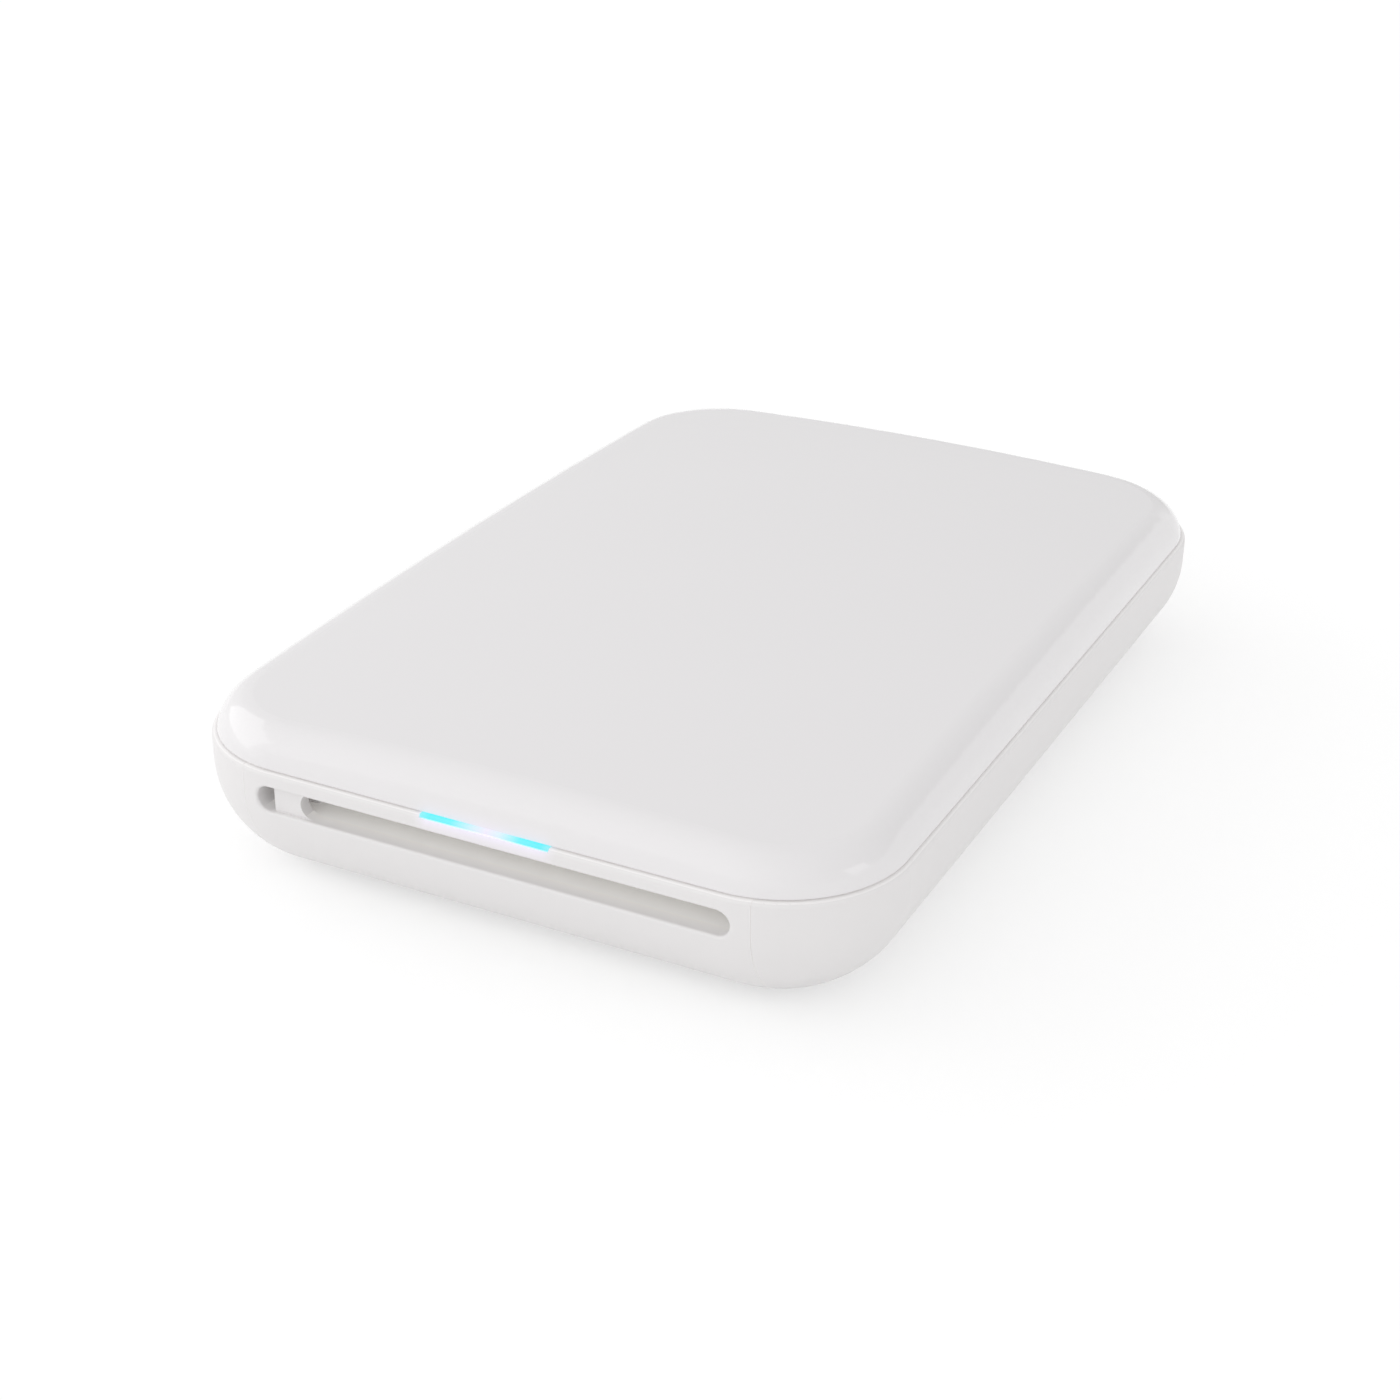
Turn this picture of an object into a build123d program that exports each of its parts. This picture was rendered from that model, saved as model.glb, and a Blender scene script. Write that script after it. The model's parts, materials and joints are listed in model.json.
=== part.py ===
"""A pocket photo printer for 2 x 3 inch sheets, built as separate pieces.

The frame has +Z up and the paper exit towards -Y. Its origin lies on the floor under the middle
of the case. All sizes are in millimetres, and all angles in degrees unless a name says otherwise.
"""
from build123d import *
import os
from math import acos, atan2, cos, hypot, pi, radians, sin, sqrt, tan

os.makedirs("parts", exist_ok=True)

# Whole printer
width = 84.0
length = 123.0
height = 22.0
corner_radius = 14.7
foot_proud = 0.5
seam_z = 16.0
seam_gap = 0.2

# Case walls
shell_wall = 1.8
floor_thickness = 1.6
belly_radius = 12.4
lip_radius = 0.5
cover_inset = 0.55
cover_wall = 1.2
cover_edge_radius = 4.6
crown_across = 1.4
crown_along = 1.4

# Clearances shared by many pieces
part_gap = 0.1
moving_gap = 0.3
running_gap = 0.05

# Paper and its path
sheet_width = 50.0
sheet_length = 76.0
sheet_side_gap = 0.4
sheet_end_gap = 0.5
paper_thickness = 0.3
paper_z = 12.0
paper_centre_x = 3.2
sheet_front_in = 37.0

# Front panel, its slot and the light guide
panel_width = 61.5
panel_gap = 0.05
panel_bottom_z = 1.9
panel_foot_depth = 8.5
slot_width = 57.4
slot_height = 3.1
slot_x = -0.2
slot_z = 12.7
slot_edge_radius = 0.3
tunnel_wall = 0.6
tunnel_depth = 8.5
eye_width = 1.9
eye_depth = 4.2
bar_width = 3.4
bar_depth = 1.5
bar_setback = 0.8
guide_width = 15.5
guide_height = 0.4
guide_setback = 0.1
guide_depth = 2.1
strip_length = 20.0
strip_thickness = 0.6
chip_size = 0.6
chip_width = 1.6
chip_pitch = 5.5
chip_count = 3

# Deck with the paper well
deck_thickness = 1.0
deck_drop = 0.1
deck_side_gap = 0.3
well_wall = 1.2
well_floor = 1.2
well_floor_drop = 1.1
gate_rise = 0.7
rear_shelf_drop = 2.5
rear_shelf_thickness = 0.7
shelf_rib_in = 7.0
shelf_rib_width = 2.0
boss_radius = 2.2
boss_in_x = 5.5
boss_in_y = 15.5
screw_radius = 0.75
screw_head_radius = 1.5
screw_head_height = 0.8
case_screw_length = 7.0

# Cover hinge, concealed inside the rear edge
hinge_in = 4.3
hinge_rise = 1.7
hinge_pin_radius = 0.6
knuckle_radius = 1.2
ear_x = 22.0
ear_width = 2.4
lug_width = 2.0
hinge_side_gap = 0.2
scoop_gap = 0.2
land_thickness = 0.45

# Cover liner and latch
liner_gap = 1.9
liner_thickness = 0.9
liner_side_gap = 0.6
liner_screw_in_x = 12.0
liner_screw_in_y = 18.5
liner_post_radius = 2.0
liner_screw_radius = 0.5
liner_screw_head = 1.1
liner_screw_head_height = 0.5
liner_screw_length = 1.8
latch_in_x = 6.5
latch_in_y = 41.5
latch_radius = 2.0
latch_rim = 0.3
latch_disc_thickness = 0.4

# Pressure plate on the liner
plate_pivot_back = 27.5
plate_pivot_drop = 1.4
plate_slope = 11.5
plate_length = 24.0
plate_width = 36.0
plate_thickness = 1.0
plate_pin_radius = 0.6
plate_barrel_radius = 1.1
plate_lug_width = 2.5
pad_thickness = 0.4
pad_length = 6.0
pad_inset = 3.0
spring_offset_x = 11.0
spring_offset_y = 15.0
spring_coil_radius = 1.8
spring_wire_radius = 0.2
spring_turns = 5
spring_seat_lift = 1.1
spring_seat_radius = 2.4
cup_clearance = 0.6
cup_wall = 0.7
cup_top_gap = 0.7

# Rollers
shaft_radius = 1.0
platen_in = 15.5
platen_radius = 3.5
feed_step = 13.0
feed_radius = 3.0
pickup_step = 15.0
pickup_radius = 3.5
pickup_reach = 0.3
pinch_radius = 2.0
pinch_axle_radius = 0.8
pinch_width = 7.0
feed_ring_width = 8.0
feed_ring_pitch = 17.0
pickup_ring_width = 9.0
pickup_ring_pitch = 20.0
pickup_window_reach = 2.9
window_gap = 0.6

# Side plates of the mechanism
side_plate_thickness = 0.8
side_plate_gap = 1.4
side_plate_floor_gap = 0.3
bushing_radius = 1.7
bushing_flange_radius = 2.2
bushing_flange = 0.3
tie_radius = 0.9
upper_tie_in = 2.6
upper_tie_z = 14.6
lower_tie_step = 3.5
lower_tie_z = 4.6
side_plate_chamfer = 1.4
side_plate_run = 2.5
side_plate_tail = 5.0
side_plate_step_z = 11.5
side_plate_end_gap = 0.4
reduction_margin = 3.2
reduction_shoulder = 1.4

# Gear train
gear_module = 0.4
pressure_angle = 25.0
addendum = 0.8
dedendum = 1.1
backlash = 0.1
mesh_slack = 0.03
platen_teeth = 24
feed_teeth = 20
pickup_teeth = 24
front_idler_teeth = 12
rear_idler_teeth = 16
reduction_small_teeth = 10
reduction_large_teeth = 28
pinion_teeth = 10
gear_width = 2.0
gear_side_gap = 0.6
large_gear_width = 1.8
large_gear_offset = 0.8
stud_radius = 0.8
stud_shoulder_radius = 1.3
stud_end = 0.4
reduction_z = 8.55

# Motor
motor_radius = 3.5
motor_length = 16.0
motor_shaft_radius = 0.5
motor_boss_radius = 1.2
motor_cap_radius = 2.6
motor_cap_length = 0.6
motor_edge_radius = 0.5
motor_shaft_in = 5.8
motor_shaft_end = 0.2

# Thermal print head
head_bar_thickness = 0.8
head_bar_length = 8.0
head_side_gap = 0.7
sink_thickness = 1.6
sink_front = 6.0
sink_rear = 7.0
fin_height = 0.8
fin_width = 0.9
fin_count = 5
head_pivot_back = 7.8
head_pivot_rise = 2.2
head_pivot_radius = 0.8
head_barrel_radius = 1.25
leaf_length = 30.0
leaf_width = 3.0
leaf_thickness = 0.2

# Mechanism cover
hood_thickness = 0.8
hood_gap = 0.4
hood_side = 2.2
hood_front_in = 4.5
hood_rear_gap = 0.6
hood_corner = 3.0
hood_ear_length = 6.0
hood_ear_width = 3.4
hood_ear_in = 9.4
hood_screw_radius = 0.5
hood_screw_head = 1.1
hood_screw_head_height = 0.6
hood_screw_length = 2.0
bay_margin = 0.8
bay_front_margin = 3.4
guide_plate_thickness = 0.8
guide_plate_drop = 0.3

# Battery and boards
battery_width = 34.0
battery_length = 41.0
battery_thickness = 5.0
battery_right_x = 28.5
battery_lift = 0.2
battery_edge_radius = 1.5
battery_tape_width = 10.0
board_thickness = 1.0
board_lift = 1.9
board_left_x = -28.5
board_width = 21.0
board_front_back = 19.0
board_rear_gap = 1.0
tongue_reach = 15.0
tongue_length = 6.0
capacitor_in_x = 1.3
capacitor_in_y = 23.0
capacitor_pitch = 2.4
capacitor_count = 5
post_radius = 1.7
board_screw_radius = 0.6
board_screw_head = 1.2
board_screw_length = 2.2
motor_socket_in_x = 1.0
motor_socket_in_y = 1.0
motor_socket_width = 4.2
battery_socket_in_x = 9.8
battery_socket_in_y = 1.6
battery_socket_width = 4.4
lead_socket_length = 2.8
lead_socket_height = 2.0
flex_socket_in_x = 4.0
flex_socket_in_y = 9.0
flex_socket_width = 10.0
flex_socket_length = 3.4
flex_socket_height = 1.2
flex_in_socket = 1.0
motor_lead_in = 2.1
rear_board_width = 56.0
rear_board_length = 6.1
rear_board_in = 10.5
rear_post_x = 24.0
rear_post_in = 3.5

# Rear wall
port_z = 10.8
port_x = 12.0
port_width = 9.0
port_height = 3.2
port_wall = 0.35
port_depth = 7.3
port_setback = 0.6
port_back = 0.6
port_gap = 0.2
tongue_width = 6.7
tongue_thickness = 0.7
button_x = -14.0
button_width = 7.0
button_height = 2.6
button_setback = 0.05
button_edge_radius = 0.25
button_flange_in = 3.6
button_flange = 0.6
button_flange_thickness = 0.7
button_travel = 0.5
switch_width = 6.0
switch_length = 3.2
plunger_radius = 0.7
plunger_length = 0.4
pipe_x = 3.0
pipe_radius = 0.7
pipe_gap = 0.05
pipe_setback = 0.25
pipe_front_in = 4.1

# Feet, flat cable and leads
foot_radius = 3.5
foot_recess = 0.5
foot_in_x = 18.0
foot_in_y = 18.5
flex_width = 8.0
flex_thickness = 0.25
flex_overlap = 2.0
flex_bend_radius = 0.35
lead_radius = 0.35
lead_bend_radius = 1.0
motor_lead_step = 0.9

# Places worked out from the sizes above
front_y = -length / 2
rear_y = length / 2
platen_y = front_y + platen_in
feed_y = platen_y + feed_step
pickup_y = feed_y + pickup_step
sheet_front_y = front_y + sheet_front_in
plate_pivot_y = sheet_front_y + plate_pivot_back
latch_x = width / 2 - latch_in_x
latch_y = front_y + latch_in_y
liner_screw_x = width / 2 - liner_screw_in_x
liner_screw_y = length / 2 - liner_screw_in_y
foot_x = width / 2 - foot_in_x
foot_y = length / 2 - foot_in_y
rear_board_front_y = rear_y - rear_board_in
board_front_y = pickup_y + board_front_back
board_rear_y = rear_board_front_y - board_rear_gap
button_flange_y = rear_y - button_flange_in
pipe_front_y = rear_y - pipe_front_in
battery_rear_y = rear_y - belly_radius - part_gap
battery_front_y = battery_rear_y - battery_length
floor_z = foot_proud + floor_thickness
inner_belly = belly_radius - shell_wall
cover_z = seam_z + seam_gap
cover_width = width - 2 * cover_inset
cover_length = length - 2 * cover_inset
cover_corner = corner_radius - cover_inset
deck_top = seam_z - deck_drop
deck_bottom = deck_top - deck_thickness
well_left = paper_centre_x - sheet_width / 2 - sheet_side_gap
well_right = paper_centre_x + sheet_width / 2 + sheet_side_gap
well_front = sheet_front_y - sheet_end_gap
well_rear = sheet_front_y + sheet_length + sheet_end_gap
well_top_floor = paper_z - well_floor_drop
well_bottom = well_top_floor - well_floor
shelf_y = well_rear + well_wall
hood_front_y = front_y + hood_front_in
hood_rear_y = well_front - hood_rear_gap
hood_ear_y = hood_rear_y - hood_ear_in
tie_places = ((well_front - upper_tie_in, upper_tie_z), (platen_y - lower_tie_step, lower_tie_z))
hinge_y = rear_y - hinge_in
hinge_z = seam_z + hinge_rise
hood_bottom = deck_top + 2 * hood_gap
hood_top = hood_bottom + hood_thickness
liner_z = seam_z + liner_gap
liner_top = liner_z + liner_thickness
plate_left = well_left - side_plate_gap - part_gap
plate_right = well_right + side_plate_gap + part_gap
platen_z = paper_z - platen_radius
feed_z = paper_z - feed_radius
pickup_z = well_top_floor + pickup_reach - pickup_radius
pinch_z = paper_z + paper_thickness + pinch_radius
head_z = paper_z + paper_thickness
gear_right = plate_left - side_plate_thickness - gear_side_gap
gear_left = gear_right - gear_width
large_right = gear_left - large_gear_offset
large_left = large_right - large_gear_width
board_z = floor_z + board_lift
board_top = board_z + board_thickness
rear_board_top = port_z - port_height / 2
rear_board_z = rear_board_top - board_thickness


def block(low, high, mode=Mode.ADD):
    """Add a box given by its low and high corners."""
    middle = [(a + b) / 2 for a, b in zip(low, high)]
    with Locations(tuple(middle)):
        Box(*[b - a for a, b in zip(low, high)], mode=mode)


def rod(y, z, radius, x_low, x_high, mode=Mode.ADD):
    """Add a cylinder that lies along X."""
    with Locations(Location(((x_low + x_high) / 2, y, z), (0, 90, 0))):
        Cylinder(radius, x_high - x_low, mode=mode)


def post(x, y, radius, z_low, z_high, mode=Mode.ADD):
    """Add an upright cylinder."""
    with Locations((x, y, (z_low + z_high) / 2)):
        Cylinder(radius, z_high - z_low, mode=mode)


def save(builder, name):
    """Label a finished piece and write it to its own file."""
    builder.part.label = name
    export_step(builder.part, f"parts/{name}.step")
    print(name, len(builder.part.solids()), round(builder.part.volume, 1))


def bowl(inset, bottom_z, edge_radius):
    """Return the case's plan, drawn in by an inset, with its lower edge rounded."""
    with BuildPart() as solid:
        with BuildSketch(Plane.XY.offset(bottom_z)):
            RectangleRounded(width - 2 * inset, length - 2 * inset, corner_radius - inset)
        extrude(amount=seam_z - bottom_z)
        fillet(solid.faces().sort_by(Axis.Z)[0].edges(), edge_radius)
    return solid.part


def pillow(inset, bottom_z):
    """Return the crowned, round-edged cover shape, drawn in by an inset."""
    top = height - inset
    reach = length / 2
    along_radius = (reach ** 2 + crown_along ** 2) / (2 * crown_along)
    across_radius = ((width / 2) ** 2 + crown_across ** 2) / (2 * crown_across)
    blank_z = bottom_z - cover_edge_radius
    with BuildPart() as solid:
        with BuildSketch(Plane.XY.offset(blank_z)):
            RectangleRounded(cover_width - 2 * inset, cover_length - 2 * inset, cover_corner - inset)
        extrude(amount=height - blank_z)
        drop = along_radius - sqrt(along_radius ** 2 - reach ** 2)
        with BuildSketch(Plane.YZ):
            with BuildLine():
                ThreePointArc((-reach, top - drop), (0, top), (reach, top - drop))
                Polyline((reach, top - drop), (reach, blank_z - 1), (-reach, blank_z - 1),
                         (-reach, top - drop))
            make_face()
        crown_axis = Axis((0, 0, top - across_radius), (0, 1, 0))
        revolve(axis=crown_axis, mode=Mode.INTERSECT)
        fillet(solid.faces().sort_by(Axis.Z)[-1].edges(), cover_edge_radius - inset)
        split(bisect_by=Plane.XY.offset(bottom_z), keep=Keep.TOP)
    return solid.part


def third_point(first, second, from_first, from_second, side):
    """Return the point at two given distances from two points, on the chosen side of their line."""
    dy = second[0] - first[0]
    dz = second[1] - first[1]
    span = hypot(dy, dz)
    along = (from_first ** 2 - from_second ** 2 + span ** 2) / (2 * span)
    off = side * sqrt(from_first ** 2 - along ** 2)
    return (first[0] + (along * dy - off * dz) / span, first[1] + (along * dz + off * dy) / span)


def pitch_radius(teeth):
    """Return a gear's pitch radius."""
    return gear_module * teeth / 2


def centre_distance(teeth_a, teeth_b):
    """Return the distance at which two gears mesh."""
    return pitch_radius(teeth_a) + pitch_radius(teeth_b) + mesh_slack


def meshed_phase(phase, teeth, centre, next_teeth, next_centre):
    """Return the tooth angle of a gear that meshes with another one, both in radians."""
    line = atan2(next_centre[1] - centre[1], next_centre[0] - centre[0])
    return line + pi + (pi - teeth * (phase - line)) / next_teeth


def involute(angle):
    """Return the involute function of an angle in radians."""
    return tan(angle) - angle


def gear(teeth, phase, centre, x_low, x_high, mode=Mode.ADD):
    """Add a spur gear with one tooth's middle at the phase angle, in radians from +Y to +Z."""
    pitch = pitch_radius(teeth)
    base = pitch * cos(radians(pressure_angle))
    tip = pitch + addendum * gear_module
    root = pitch - dedendum * gear_module
    half_pitch = pi / (2 * teeth) - backlash / (4 * pitch)
    half_base = half_pitch + involute(radians(pressure_angle))
    half_tip = half_base - involute(acos(base / tip))

    def spot(radius, angle):
        return (centre[0] + radius * cos(angle), centre[1] + radius * sin(angle))

    with BuildSketch(Plane.YZ.offset(x_low)) as outline:
        with BuildLine():
            for tooth in range(teeth):
                middle = phase + 2 * pi * tooth / teeth
                after = middle + 2 * pi / teeth
                ThreePointArc(spot(root, middle - half_base), spot(pitch, middle - half_pitch),
                              spot(tip, middle - half_tip))
                Line(spot(tip, middle - half_tip), spot(tip, middle + half_tip))
                ThreePointArc(spot(tip, middle + half_tip), spot(pitch, middle + half_pitch),
                              spot(root, middle + half_base))
                Line(spot(root, middle + half_base), spot(root, after - half_base))
        make_face()
    extrude(outline.sketch, amount=x_high - x_low, mode=mode)


def coil(x, y, z_low, z_high):
    """Add one upright compression spring, swept along pairs of arcs for each half turn."""
    rise = (z_high - z_low - 2 * spring_wire_radius) / (2 * spring_turns)
    slope = rise / (pi * spring_coil_radius)
    start_z = z_low + spring_wire_radius
    with BuildLine() as path:
        for half in range(2 * spring_turns):
            turn = half * pi
            start = Vector(x + spring_coil_radius * cos(turn), y + spring_coil_radius * sin(turn),
                           start_z + half * rise)
            end = Vector(x + spring_coil_radius * cos(turn + pi), y + spring_coil_radius * sin(turn + pi),
                         start_z + (half + 1) * rise)
            heading_in = Vector(-sin(turn), cos(turn), slope).normalized()
            heading_out = Vector(-sin(turn + pi), cos(turn + pi), slope).normalized()
            chord = end - start
            both = heading_in + heading_out
            square = 2 * (1 - heading_in.dot(heading_out))
            reach = (sqrt(chord.dot(both) ** 2 + square * chord.dot(chord)) - chord.dot(both)) / square
            joint = (start + heading_in * reach + end - heading_out * reach) * 0.5
            TangentArc(start, joint, tangent=heading_in)
            TangentArc(end, joint, tangent=heading_out * -1)
    first = Vector(x + spring_coil_radius, y, start_z)
    with BuildSketch(Plane(origin=first, z_dir=Vector(0, 1, slope))) as wire:
        Circle(spring_wire_radius)
    sweep(wire.sketch, path=path.wire())


# Lower housing
outer_bowl = bowl(0, foot_proud, belly_radius)
inner_bowl = bowl(shell_wall, floor_z, inner_belly)
boss_x = width / 2 - boss_in_x
boss_y = length / 2 - boss_in_y
boss_places = [(sx * boss_x, sy * boss_y) for sx in (-1, 1) for sy in (-1, 1)]
panel_cut_y = front_y + panel_foot_depth
board_posts = [(board_left_x + 3, board_front_y + 3), (board_left_x + board_width - 3, board_rear_y - 3),
               (board_left_x + 3, board_rear_y - 3)]
rear_post_y = rear_board_front_y + rear_post_in
foot_places = [(sx * foot_x, sy * foot_y) for sx in (-1, 1) for sy in (-1, 1)]
sweep_radius = hypot(rear_y - cover_inset - hinge_y, cover_z - hinge_z)

with BuildPart() as cavity:
    add(inner_bowl)
    for boss in boss_places:
        post(*boss, boss_radius, floor_z, deck_bottom, mode=Mode.SUBTRACT)
    for place in board_posts:
        post(*place, post_radius, floor_z, board_z, mode=Mode.SUBTRACT)
    for side in (-1, 1):
        post(side * rear_post_x, rear_post_y, post_radius, floor_z, rear_board_z, mode=Mode.SUBTRACT)

with BuildPart() as rear_scoop:
    with BuildSketch(Plane.XY.offset(floor_z)):
        RectangleRounded(width - 2 * land_thickness, length - 2 * land_thickness,
                         corner_radius - land_thickness)
    extrude(amount=height - floor_z)
    rod(hinge_y, hinge_z, sweep_radius + scoop_gap, -width / 2, width / 2, mode=Mode.INTERSECT)

with BuildPart() as rounded_bowl:
    add(outer_bowl)
    fillet(rounded_bowl.faces().sort_by(Axis.Z)[-1].edges(), lip_radius)

with BuildPart() as lower_housing:
    add(rounded_bowl.part)
    add(cavity.part, mode=Mode.SUBTRACT)
    add(rear_scoop.part, mode=Mode.SUBTRACT)
    block((-panel_width / 2, front_y - 1, panel_bottom_z), (panel_width / 2, panel_cut_y, seam_z + 1),
          mode=Mode.SUBTRACT)
    for boss in boss_places:
        post(*boss, screw_radius + running_gap, deck_bottom - case_screw_length, deck_bottom,
             mode=Mode.SUBTRACT)
    for place in board_posts:
        post(*place, board_screw_radius, board_z - board_screw_length, board_z, mode=Mode.SUBTRACT)
    for side in (-1, 1):
        post(side * rear_post_x, rear_post_y, board_screw_radius, rear_board_z - board_screw_length,
             rear_board_z, mode=Mode.SUBTRACT)
    for place in foot_places:
        post(*place, foot_radius + running_gap, foot_proud, foot_proud + foot_recess, mode=Mode.SUBTRACT)
    with BuildSketch(Plane.XZ.offset(-rear_y - 1)):
        with Locations((port_x, port_z)):
            SlotOverall(port_width + 2 * port_gap, port_height + 2 * port_gap)
        with Locations((button_x, port_z)):
            SlotOverall(button_width + 2 * part_gap, button_height + 2 * part_gap)
        with Locations((pipe_x, port_z)):
            Circle(pipe_radius + pipe_gap)
    extrude(amount=shell_wall + belly_radius / 2, mode=Mode.SUBTRACT)
save(lower_housing, "lower_housing")

# Front panel with the lanyard bar and the paper tunnel
slot_left = slot_x - slot_width / 2
slot_right = slot_x + slot_width / 2
exit_left = slot_left + eye_width + bar_width
tunnel_y = front_y + tunnel_depth
guide_top = cover_z - seam_gap / 2
guide_bottom = guide_top - guide_height
with BuildPart() as front_panel:
    add(rounded_bowl.part)
    add(inner_bowl, mode=Mode.SUBTRACT)
    block((-panel_width / 2 + panel_gap, front_y - 1, panel_bottom_z + panel_gap),
          (panel_width / 2 - panel_gap, panel_cut_y - part_gap, seam_z + 1), mode=Mode.INTERSECT)
    block((slot_left - tunnel_wall, front_y + shell_wall - moving_gap,
           slot_z - slot_height / 2 - tunnel_wall),
          (slot_right + tunnel_wall, tunnel_y, slot_z + slot_height / 2 + tunnel_wall))
    with BuildSketch(Plane.XZ.offset(-front_y - eye_depth)):
        with Locations((slot_x, slot_z)):
            SlotOverall(slot_width, slot_height)
    extrude(amount=eye_depth + 1, mode=Mode.SUBTRACT)
    mouth = front_panel.edges().filter_by(lambda e: e.center().Y < front_y + 0.4)
    mouth = mouth.filter_by(lambda e: abs(e.center().Z - slot_z) < slot_height / 2 + 0.1)
    mouth = mouth.filter_by(lambda e: slot_left - 0.1 < e.center().X < slot_right + 0.1)
    fillet(mouth, slot_edge_radius)
    with BuildSketch(Plane.XZ.offset(-tunnel_y)):
        with Locations((slot_x, slot_z)):
            SlotOverall(slot_width, slot_height)
        with Locations(((exit_left + slot_right) / 2, slot_z)):
            Rectangle(slot_right - exit_left, slot_height, mode=Mode.INTERSECT)
    extrude(amount=tunnel_depth - eye_depth + 1, mode=Mode.SUBTRACT)
    bar_overlap = tunnel_wall / 3
    block((exit_left - bar_width, front_y + bar_setback, slot_z - slot_height / 2 - bar_overlap),
          (exit_left + slot_height / 2, front_y + bar_setback + bar_depth,
           slot_z + slot_height / 2 + bar_overlap))
    with BuildSketch(Plane.XZ.offset(-front_y - bar_setback - bar_depth)):
        with Locations(((exit_left + slot_right) / 2, slot_z)):
            SlotOverall(slot_right - exit_left, slot_height)
    extrude(amount=bar_depth + bar_setback / 2, mode=Mode.SUBTRACT)
    block((-guide_width / 2 - running_gap, front_y - 1, guide_bottom - running_gap),
          (guide_width / 2 + running_gap, front_y + shell_wall + 1, seam_z + 1), mode=Mode.SUBTRACT)
save(front_panel, "front_panel")

# Light guide in the seam, and the light strip behind it
guide_rear = front_y + guide_setback + guide_depth
with BuildPart() as light_guide:
    block((-guide_width / 2, front_y + guide_setback, guide_bottom),
          (guide_width / 2, guide_rear, guide_bottom + guide_height))
    front_edges = light_guide.faces().sort_by(Axis.Y)[0].edges().filter_by(Axis.X)
    fillet(front_edges, guide_height / 4)
save(light_guide, "light_guide")

chip_front = guide_rear + 2 * part_gap
strip_front = chip_front + chip_size
strip_bottom = slot_z + slot_height / 2 + tunnel_wall
with BuildPart() as light_strip:
    block((-strip_length / 2, strip_front, strip_bottom),
          (strip_length / 2, strip_front + strip_thickness, deck_top))
    for index in range(chip_count):
        chip_x = (index - (chip_count - 1) / 2) * chip_pitch
        block((chip_x - chip_width / 2, chip_front, guide_top - chip_size),
              (chip_x + chip_width / 2, strip_front, guide_top))
save(light_strip, "light_strip")

# Middle frame: the deck, the paper well, the rear shelf and the hinge ears
deck_inset = shell_wall + deck_side_gap
bay_left = plate_left - side_plate_thickness - bay_margin
bay_right = plate_right + side_plate_thickness + bay_margin
bay_rear = well_front - well_wall + part_gap
bay_front = front_y + deck_inset + bay_front_margin
hood_left = bay_left - hood_side + bay_margin
hood_right = bay_right + hood_side - bay_margin
hood_screws = ((hood_left - hood_ear_width / 2, hood_ear_y), (hood_right + hood_ear_width / 2, hood_ear_y))
shelf_top = seam_z - rear_shelf_drop
pickup_rings = [paper_centre_x + (i - 0.5) * pickup_ring_pitch for i in range(2)]
feed_rings = [paper_centre_x + (i - 1) * feed_ring_pitch for i in range(3)]
ear_places = (-ear_x, ear_x)
stem = ((shelf_y, shelf_top - rear_shelf_thickness), (shelf_y + 2.2, shelf_top - rear_shelf_thickness),
        (hinge_y - 1.2, hinge_z - 3.1), (hinge_y + 0.55, hinge_z - 1.07), (hinge_y - 1.05, hinge_z + 0.58),
        (shelf_y + 0.8, deck_top), (shelf_y, deck_top))
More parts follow.
